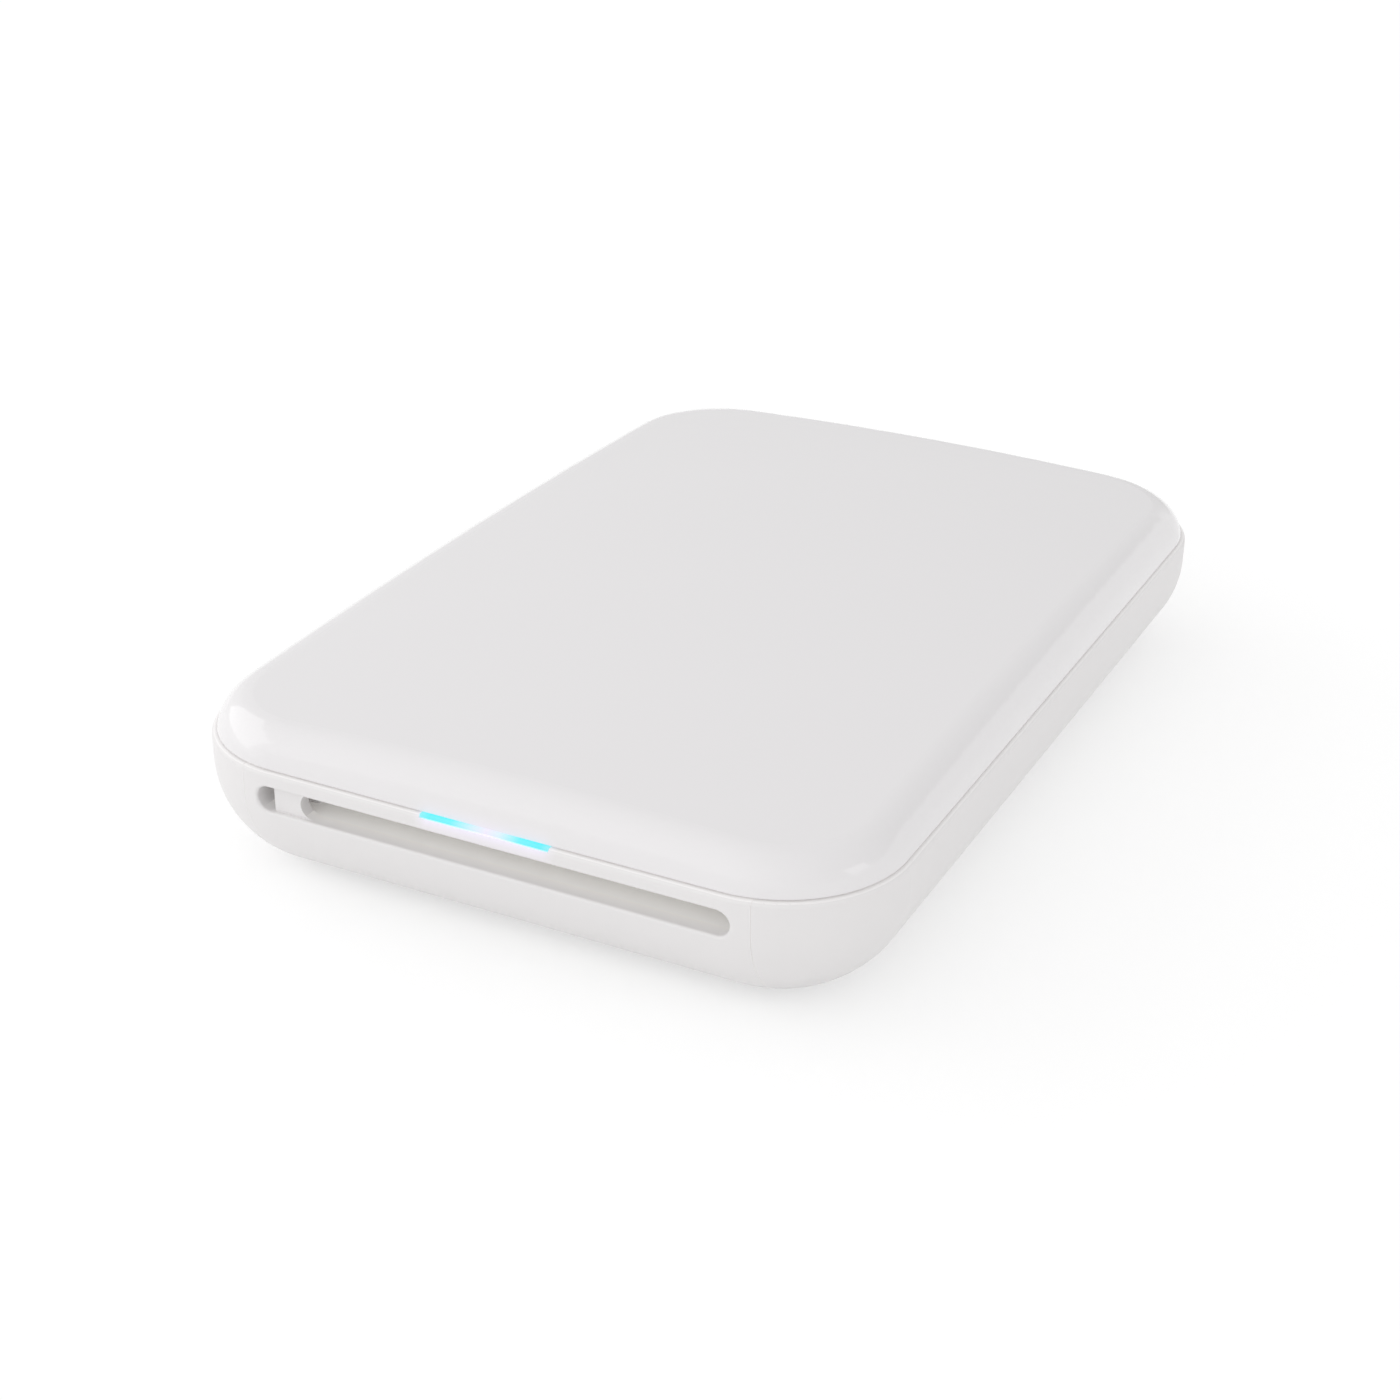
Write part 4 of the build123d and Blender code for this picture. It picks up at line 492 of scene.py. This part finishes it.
FINISHES["circuit_board"] = green_board()
FINISHES["chips"] = etched_abs("moulded_epoxy", "#1C1C1E", 0.6, grain_mm=0.2, depth_mm=0.01)
print("board finishes:", FINISHES["circuit_board"].name, FINISHES["chips"].name)

# %% [markdown]
# The battery is a pouch of aluminium foil between two plastic films: a soft silver that is not quite
# a mirror, with faint dents where the foil lies over the cell. The flat cable is polyester film with
# flat copper conductors inside, 0.5 mm apart, which are too fine to show. Broad stripes 3.1 mm apart
# stand for them, with the length of one radian given as for the rollers. The leads have a PVC sleeve:
# a smooth, slightly waxy red.

# %% Pouch foil, film cable and lead sleeves
STRIPE_RADIAN_MM = 0.5
STRIPE_STOPS = ((0.45, "#EDE9DD"), (0.55, "#B9B3A2"))


def pouch_foil():
    finish, tree, shader, point = start_finish("pouch_foil", "#B9BBBE", 0.34, Metallic=0.85)
    dents = add_node(tree, "ShaderNodeTexNoise",
                     {"Vector": point, "Scale": scale_for(6.0), "Detail": 2.0}, "Fac")
    relief = add_node(tree, "ShaderNodeBump", {"Height": dents, "Distance": 0.05 * MM}, "Normal")
    fill(shader, {"Normal": relief})
    return finish


def film_cable():
    finish, tree, shader, point = start_finish("polyester_film_cable", "#E9E5D8", 0.22, IOR=1.6)
    stripes = add_node(tree, "ShaderNodeTexWave", {
        "Vector": point, "Scale": scale_for(STRIPE_RADIAN_MM) / WAVE_RADIANS}, "Fac",
        bands_direction="X")
    ramp = add_node(tree, "ShaderNodeValToRGB", {"Fac": stripes})
    for stop, (place, colour) in zip(ramp.color_ramp.elements, STRIPE_STOPS):
        stop.position, stop.color = place, linear(colour)
    fill(shader, {"Base Color": ramp.outputs["Color"]})
    return finish


def pvc_sleeve():
    finish, tree, shader, point = start_finish("red_pvc_sleeve", "#B3211F", 0.35, IOR=1.53)
    drawn = add_node(tree, "ShaderNodeTexNoise",
                     {"Vector": point, "Scale": scale_for(0.6), "Detail": 1.0}, "Fac")
    relief = add_node(tree, "ShaderNodeBump", {"Height": drawn, "Distance": 0.005 * MM}, "Normal")
    fill(shader, {"Normal": relief})
    return finish


FINISHES["battery_foil"] = pouch_foil()
FINISHES["flat_cable"] = film_cable()
FINISHES["lead_wire"] = pvc_sleeve()
print("power finishes:", [FINISHES[s].name for s in ("battery_foil", "flat_cable", "lead_wire")])

# %% [markdown]
# The print head's bar is alumina, a fired white ceramic, under a thin glaze. It looks like dense
# porcelain, a little cream, with a smooth shine over a very fine grain.

# %% Print head: glazed alumina
def glazed_alumina():
    finish, tree, shader, point = start_finish("glazed_alumina", "#E2DCCB", 0.3, IOR=1.76)
    grit = add_node(tree, "ShaderNodeTexNoise",
                    {"Vector": point, "Scale": scale_for(0.2), "Detail": 2.0}, "Fac")
    relief = add_node(tree, "ShaderNodeBump", {"Height": grit, "Distance": 0.003 * MM}, "Normal")
    fill(shader, {"Normal": relief, "Coat Weight": 0.6, "Coat Roughness": 0.08})
    return finish


FINISHES["ceramic"] = glazed_alumina()
print("finishes made:", len(FINISHES))

# %% [markdown]
# Now each solid gets the finish of its own material. The record of the part says which one that is,
# so the loop reads it from there and nothing is typed twice. A piece with a finish of its own, such
# as the front panel, takes that one first.

# %% Finish every solid
SLOT_OF = {row["node"]: row["material_slot"] for row in frame["record"]["subparts"]}


def finish_solid(solid, finish):
    solid.data.materials.clear()
    solid.data.materials.append(finish)


for name, solid in nodes.items():
    finish_solid(solid, FINISHES.get(name, FINISHES[SLOT_OF[name]]))
print("solids finished:", len(SLOT_OF))

# %% [markdown]
# The screws are small pan-head screws with a cross recess and a thread. In the solids they are plain
# stepped pins, which is right for their size and place, so each group is measured there and built
# again in mesh code: a profile turned round the screw's axis makes the rounded head and the thread,
# and the head's top is filled between its rim and the outline of a cross, whose floor is then sunk
# in. The thread is drawn as rings instead of a spiral, since almost all of it is in the plastic. The
# table names the body that each group holds, its head's height and its shaft's radius in millimetres,
# and which way its heads look: 1 for up, -1 for down. Python hands the members of a set out in any
# order, so the screws found are sorted by place, and every run draws them in the same order.

# %% Where the screws are: each one's axis, ends and head
SCREWS = {"case_screws": ("base", 0.8, 0.75, 1), "mechanism_cover_screws": ("base", 0.6, 0.5, 1),
          "liner_screws": ("lid", 0.5, 0.5, -1), "board_screws": ("base", 0.6, 0.5, 1)}
SAME_PLACE = 0.001 * MM


def separate_solids(node):
    """The boxes of the loose bodies in one solid's mesh, lowest and highest corner, in fixed order."""
    mesh = bmesh.new()
    mesh.from_mesh(nodes[node].data)
    bmesh.ops.remove_doubles(mesh, verts=mesh.verts, dist=SAME_PLACE)
    waiting, boxes = set(mesh.verts), []
    while waiting:
        group, edge_of_group = set(), [waiting.pop()]
        while edge_of_group:
            vertex = edge_of_group.pop()
            group.add(vertex)
            for edge in vertex.link_edges:
                other = edge.other_vert(vertex)
                if other in waiting:
                    waiting.discard(other)
                    edge_of_group.append(other)
        points = [v.co for v in group]
        boxes.append((Vector([min(q[i] for q in points) for i in range(3)]),
                      Vector([max(q[i] for q in points) for i in range(3)])))
    mesh.free()
    return sorted(boxes, key=lambda corners: tuple(corners[0]))


SCREW_BOXES = {node: separate_solids(node) for node in SCREWS}
print("screws found:", {node: len(boxes) for node, boxes in SCREW_BOXES.items()})

# %% [markdown]
# One screw is drawn with its head's top at zero and its axis pointing down, then turned and moved to
# its place. The ring between the rim and the cross is filled with triangles. The cross narrows on the
# way down, as the driver that fits it does. The head's curve is given as shares of its radius and its
# height, the cross as its arm and half its width in shares of the head's radius, and the thread's
# root and the tip as shares of the shaft's radius.

# %% Draw one screw
ROUND = 24
HEAD_CURVE = ((0.8, 0.0), (0.95, 0.15), (1.0, 0.4), (1.0, 1.0))
CROSS_TOP, CROSS_FLOOR, CROSS_DEPTH = (0.56, 0.13), (0.4, 0.08), 0.6
PITCH, THREAD_START = 0.5 * MM, 0.3 * MM
THREAD_ROOT, TIP = 0.78, 0.35


def turned_rings(mesh, profile):
    """Rings of vertices round the z axis, one for each radius and height, joined by quads."""
    around = [(math.cos(2 * math.pi * i / ROUND), math.sin(2 * math.pi * i / ROUND))
              for i in range(ROUND)]
    rings = [[mesh.verts.new((radius * x, radius * y, height)) for x, y in around]
             for radius, height in profile]
    for upper, lower in zip(rings, rings[1:]):
        for i in range(ROUND):
            j = (i + 1) % ROUND
            mesh.faces.new((upper[i], upper[j], lower[j], lower[i]))
    mesh.faces.new(rings[-1])
    return rings[0]


def cross_outline(mesh, arm, half, height):
    """The twelve corners of a plus sign."""
    quarter = [(arm, -half), (arm, half), (half, half)]
    corners = []
    for turn in range(4):
        for x, y in quarter:
            for _ in range(turn):
                x, y = -y, x
            corners.append(mesh.verts.new((x, y, height)))
    return corners


def ring_edges(mesh, ring):
    pairs = zip(ring, ring[1:] + ring[:1])
    return [mesh.edges.get(pair) or mesh.edges.new(pair) for pair in pairs]


def draw_screw(mesh, head_radius, head_height, shaft_radius, full_length):
    profile = [(out * head_radius, -down * head_height) for out, down in HEAD_CURVE]
    profile += [(shaft_radius, -head_height)]
    height = -head_height - THREAD_START
    while height > -full_length + PITCH:
        profile += [(shaft_radius, height), (THREAD_ROOT * shaft_radius, height - PITCH / 2)]
        height -= PITCH
    profile += [(TIP * shaft_radius, -full_length)]
    rim = turned_rings(mesh, profile)
    top = cross_outline(mesh, CROSS_TOP[0] * head_radius, CROSS_TOP[1] * head_radius, 0.0)
    floor = cross_outline(mesh, CROSS_FLOOR[0] * head_radius, CROSS_FLOOR[1] * head_radius,
                          -CROSS_DEPTH * head_height)
    for i in range(len(top)):
        j = (i + 1) % len(top)
        mesh.faces.new((top[i], top[j], floor[j], floor[i]))
    mesh.faces.new(floor)
    edges = ring_edges(mesh, rim) + ring_edges(mesh, top)
    bmesh.ops.triangle_fill(mesh, use_beauty=True, edges=edges)


trial = bmesh.new()
draw_screw(trial, 1.5 * MM, 0.8 * MM, 0.75 * MM, 7 * MM)
print("corners in one case screw:", len(trial.verts))
trial.free()

# %% [markdown]
# Each group becomes one piece that rides with the body that its screws hold, and stands for the
# plain pins. The liner's screws are driven upward from below, so they are turned over. A shaft is
# never wider than 0.7 of its head, so that a small head still has an underside to press with.

# %% Build the screws
WIDEST_SHAFT = 0.7


def build_screws(node):
    body, head_mm, shaft_mm, upward = SCREWS[node]
    group = bmesh.new()
    for low, high in SCREW_BOXES[node]:
        single = bmesh.new()
        head_radius = (high.x - low.x) / 2
        shaft_radius = min(shaft_mm * MM, WIDEST_SHAFT * head_radius)
        draw_screw(single, head_radius, head_mm * MM, shaft_radius, high.z - low.z)
        turn = Matrix.Identity(4) if upward > 0 else Matrix.Rotation(math.pi, 4, "X")
        top = high.z if upward > 0 else low.z
        place = Matrix.Translation(((low.x + high.x) / 2, (low.y + high.y) / 2, top))
        bmesh.ops.transform(single, matrix=place @ turn, verts=single.verts)
        bmesh.ops.recalc_face_normals(single, faces=single.faces)
        part = bpy.data.meshes.new("one_screw")
        single.to_mesh(part)
        single.free()
        group.from_mesh(part)
        bpy.data.meshes.remove(part)
    mesh = bpy.data.meshes.new(node + "_threaded")
    group.to_mesh(mesh)
    group.free()
    piece = bpy.data.objects.new(node + "_threaded", mesh)
    bpy.context.scene.collection.objects.link(piece)
    mesh.materials.append(FINISHES["steel"])
    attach(piece, body)
    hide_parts(node)
    return piece


SCREW_PIECES = [build_screws(node) for node in SCREWS]
print("screw pieces:", [piece.name for piece in SCREW_PIECES])

# %% [markdown]
# Two kinds of spring get shorter when their part moves: the coils above the pressure plate and the
# leaf above the print head. A rigid copy would be cut through by the rising part; each spring here is
# still a rigid copy of its own solid, which rides with its body in place of the solid. How far the
# part rises under the spring's outer edge follows from that edge's distance to the joint's pivot, and
# gives the share of its height that the spring would keep. The table names each spring's body and
# joint, how far the pivot lies along y in millimetres, and by how many degrees the joint turns.

# %% Copies of the springs
SPRINGS = {"pressure_springs": ("lid", "pressure_plate_hinge", 3.0, 8.0),
           "head_leaf_spring": ("base", "head_pivot", -38.2, 2.0)}
SPRING_MARGIN_MM = 0.05


def giving_spring(node):
    body, joint, pivot_y_mm, degrees = SPRINGS[node]
    low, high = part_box(node)
    rise = (pivot_y_mm * MM - low.y) * math.tan(math.radians(degrees)) + SPRING_MARGIN_MM * MM
    piece = bpy.data.objects.new(node + "_giving", nodes[node].data.copy())
    bpy.context.scene.collection.objects.link(piece)
    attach(piece, body)
    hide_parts(node)
    share = 1.0 - rise / (high.z - low.z)
    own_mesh(piece)
    return share


SHARES = {node: round(giving_spring(node), 2) for node in SPRINGS}
print("shares of their height that the springs keep:", SHARES)

# %% [markdown]
# The printer lies on a sheet of white paper. Rays that bounce off the printer meet it as plain white
# paper, which lights the printer's underside from below, as it does in a studio. The camera, a gloss
# and a clear piece see it with about half of that and a light of its own, so it reads as bright
# paper while it still keeps the printer's soft shadow.

# %% The paper it lies on
PAPER_SHARE, PAPER_LIGHT, PAPER_BOUNCE = 0.5, 0.54, 0.95
PAPER_HALF = 3.0
PLAIN_WHITE = (1.0, 1.0, 1.0, 1.0)


def seen_ray(tree):
    """One where the camera, a gloss or a clear piece looks, and zero for every other ray."""
    ray = add_node(tree, "ShaderNodeLightPath").outputs
    seen = add_node(tree, "ShaderNodeMath",
                    {0: ray["Is Camera Ray"], 1: ray["Is Glossy Ray"]}, "Value",
                    operation="MAXIMUM")
    return add_node(tree, "ShaderNodeMath", {0: seen, 1: ray["Is Transmission Ray"]}, "Value",
                    operation="MAXIMUM")


def paper_white():
    finish, tree, shader, _ = start_finish("white_paper", "#FAFAFA", 0.9, Specular_IOR_Level=0.0)
    seen = seen_ray(tree)
    tone = add_node(tree, "ShaderNodeMapRange",
                    {"Value": seen, "To Min": PAPER_BOUNCE, "To Max": PAPER_SHARE},
                    "Result")
    lift = add_node(tree, "ShaderNodeMath",
                    {0: seen, 1: PAPER_LIGHT}, "Value", operation="MULTIPLY")
    fill(shader, {"Base Color": tone, "Emission Color": PLAIN_WHITE, "Emission Strength": lift})
    return finish


def make_paper():
    sheet = bmesh.new()
    signs = ((-1, -1), (1, -1), (1, 1), (-1, 1))
    sheet.faces.new([sheet.verts.new((x * PAPER_HALF, y * PAPER_HALF, 0.0)) for x, y in signs])
    mesh = bpy.data.meshes.new("paper")
    sheet.to_mesh(mesh)
    sheet.free()
    paper = bpy.data.objects.new("paper", mesh)
    bpy.context.scene.collection.objects.link(paper)
    mesh.materials.append(paper_white())
    return paper


paper = make_paper()
print("paper in metres:", [round(v, 1) for v in paper.dimensions[:2]])

# %% [markdown]
# The light is that of a white studio: a ceiling that is bright at the front left and dimmer towards
# the rear right, and a low pale wall at the front and the right. The glossy cover shows that as it
# should: its top falls off softly to the right, and its rounded right edge has a clear lighter band,
# where it mirrors the wall. The world's colour does this by direction. One soft box at the left adds
# the gleam on the front left corner, and one at the right lights the front right corner. Where the
# camera looks past the paper, it sees plain white.

# %% Studio light
CEILING_FRONT_LEFT, CEILING_REAR_RIGHT, WALL = 1.26, 0.52, 0.98
REAR_RIGHT = (0.6, 0.8, 0.0)
FRONT_RIGHT = (0.9, -0.43, 0.0)
WALL_TOP, WALL_EDGE = 0.36, 0.015
WALL_ENDS = (-0.5, -0.3)


def studio_world():
    world = bpy.data.worlds.new("white_studio")
    bpy.context.scene.world = world
    world.use_nodes = True
    tree = world.node_tree
    tree.nodes.clear()
    direction = add_node(tree, "ShaderNodeTexCoord", out="Generated")
    back = add_node(tree, "ShaderNodeVectorMath", {0: direction, 1: REAR_RIGHT}, "Value",
                    operation="DOT_PRODUCT")
    ceiling = add_node(tree, "ShaderNodeMapRange", {
        "Value": back, "From Min": -1.0, "To Min": CEILING_FRONT_LEFT, "To Max": CEILING_REAR_RIGHT},
        "Result")
    height = add_node(tree, "ShaderNodeSeparateXYZ", {"Vector": direction}, "Z")
    low = add_node(tree, "ShaderNodeMapRange", {
        "Value": height, "From Min": WALL_TOP - WALL_EDGE, "From Max": WALL_TOP + WALL_EDGE,
        "To Min": 1.0, "To Max": 0.0}, "Result")
    side = add_node(tree, "ShaderNodeVectorMath", {0: direction, 1: FRONT_RIGHT}, "Value",
                    operation="DOT_PRODUCT")
    here = add_node(tree, "ShaderNodeMapRange", {
        "Value": side, "From Min": WALL_ENDS[0], "From Max": WALL_ENDS[1]}, "Result")
    wall = add_node(tree, "ShaderNodeMath", {0: low, 1: here}, "Value", operation="MULTIPLY")
    level = add_node(tree, "ShaderNodeMix", {0: wall, 2: ceiling, 3: WALL}, 0)
    studio = add_node(tree, "ShaderNodeBackground", {"Color": PLAIN_WHITE, "Strength": level},
                      "Background")
    plain = add_node(tree, "ShaderNodeBackground", {"Color": PLAIN_WHITE, "Strength": 1.0},
                     "Background")
    camera_ray = add_node(tree, "ShaderNodeLightPath", out="Is Camera Ray")
    mix = add_node(tree, "ShaderNodeMixShader", {0: camera_ray, 1: studio, 2: plain}, "Shader")
    add_node(tree, "ShaderNodeOutputWorld", {"Surface": mix})


def soft_box(name, place, aim, size, power):
    lamp = bpy.data.lights.new(name, "AREA")
    lamp.shape = "RECTANGLE"
    lamp.size, lamp.size_y = size
    lamp.energy = power
    holder = bpy.data.objects.new(name, lamp)
    bpy.context.scene.collection.objects.link(holder)
    holder.location = place
    holder.rotation_mode = "QUATERNION"
    holder.rotation_quaternion = (Vector(aim) - Vector(place)).to_track_quat("-Z", "Y")


studio_world()
soft_box("left_box", place=(-1.0, -0.1, 0.5), aim=(-0.02, -0.03, 0.015), size=(1.1, 0.7), power=1.5)
soft_box("right_box", place=(0.98, 0.06, 0.55), aim=(0.0395, -0.0507, 0.0187), size=(0.35, 0.3),
         power=0.3)

# %% [markdown]
# The camera stands where the photographer's did: above the front right corner, close, looking down
# by about 25 degrees. Its distance, lens and tilt come from matching the printer's known outline to
# the picture. A small shift frames the printer a little above and to the right of the middle.

# %% The camera
CAMERA_AZIMUTH, CAMERA_ELEVATION, CAMERA_ROLL = (math.radians(a) for a in (25.69, 25.38, 1.03))
CAMERA_DISTANCE = 299.4 * MM
AIM = Vector((0.0, 0.0, 11.25 * MM))
PICTURE = 1400.0
FOCAL_PIXELS = 2390.0
AXIS_PIXEL = (743.2, 648.8)


def place_camera():
    back = Vector((math.sin(CAMERA_AZIMUTH) * math.cos(CAMERA_ELEVATION),
                   -math.cos(CAMERA_AZIMUTH) * math.cos(CAMERA_ELEVATION),
                   math.sin(CAMERA_ELEVATION)))
    level = Vector((math.cos(CAMERA_AZIMUTH), math.sin(CAMERA_AZIMUTH), 0.0))
    upward = back.cross(level)
    right = math.cos(CAMERA_ROLL) * level + math.sin(CAMERA_ROLL) * upward
    above = -math.sin(CAMERA_ROLL) * level + math.cos(CAMERA_ROLL) * upward
    lens = bpy.data.cameras.new("photo_camera")
    lens.sensor_width = 36.0
    lens.lens = FOCAL_PIXELS * lens.sensor_width / PICTURE
    lens.shift_x = -(AXIS_PIXEL[0] - PICTURE / 2) / PICTURE
    lens.shift_y = -(PICTURE / 2 - AXIS_PIXEL[1]) / PICTURE
    lens.clip_start, lens.clip_end = 0.01, 20.0
    camera = bpy.data.objects.new("photo_camera", lens)
    bpy.context.scene.collection.objects.link(camera)
    place = AIM + back * CAMERA_DISTANCE
    camera.matrix_world = Matrix((
        (right.x, above.x, back.x, place.x),
        (right.y, above.y, back.y, place.y),
        (right.z, above.z, back.z, place.z),
        (0.0, 0.0, 0.0, 1.0)))
    bpy.context.scene.camera = camera
    return camera


camera = place_camera()
print("lens in mm:", round(camera.data.lens, 1))

# %% [markdown]
# Last, the picture is kept plain: no colour grading, so a colour renders as it was written.

# %% Keep the colours plain
bpy.context.scene.view_settings.view_transform = "Standard"
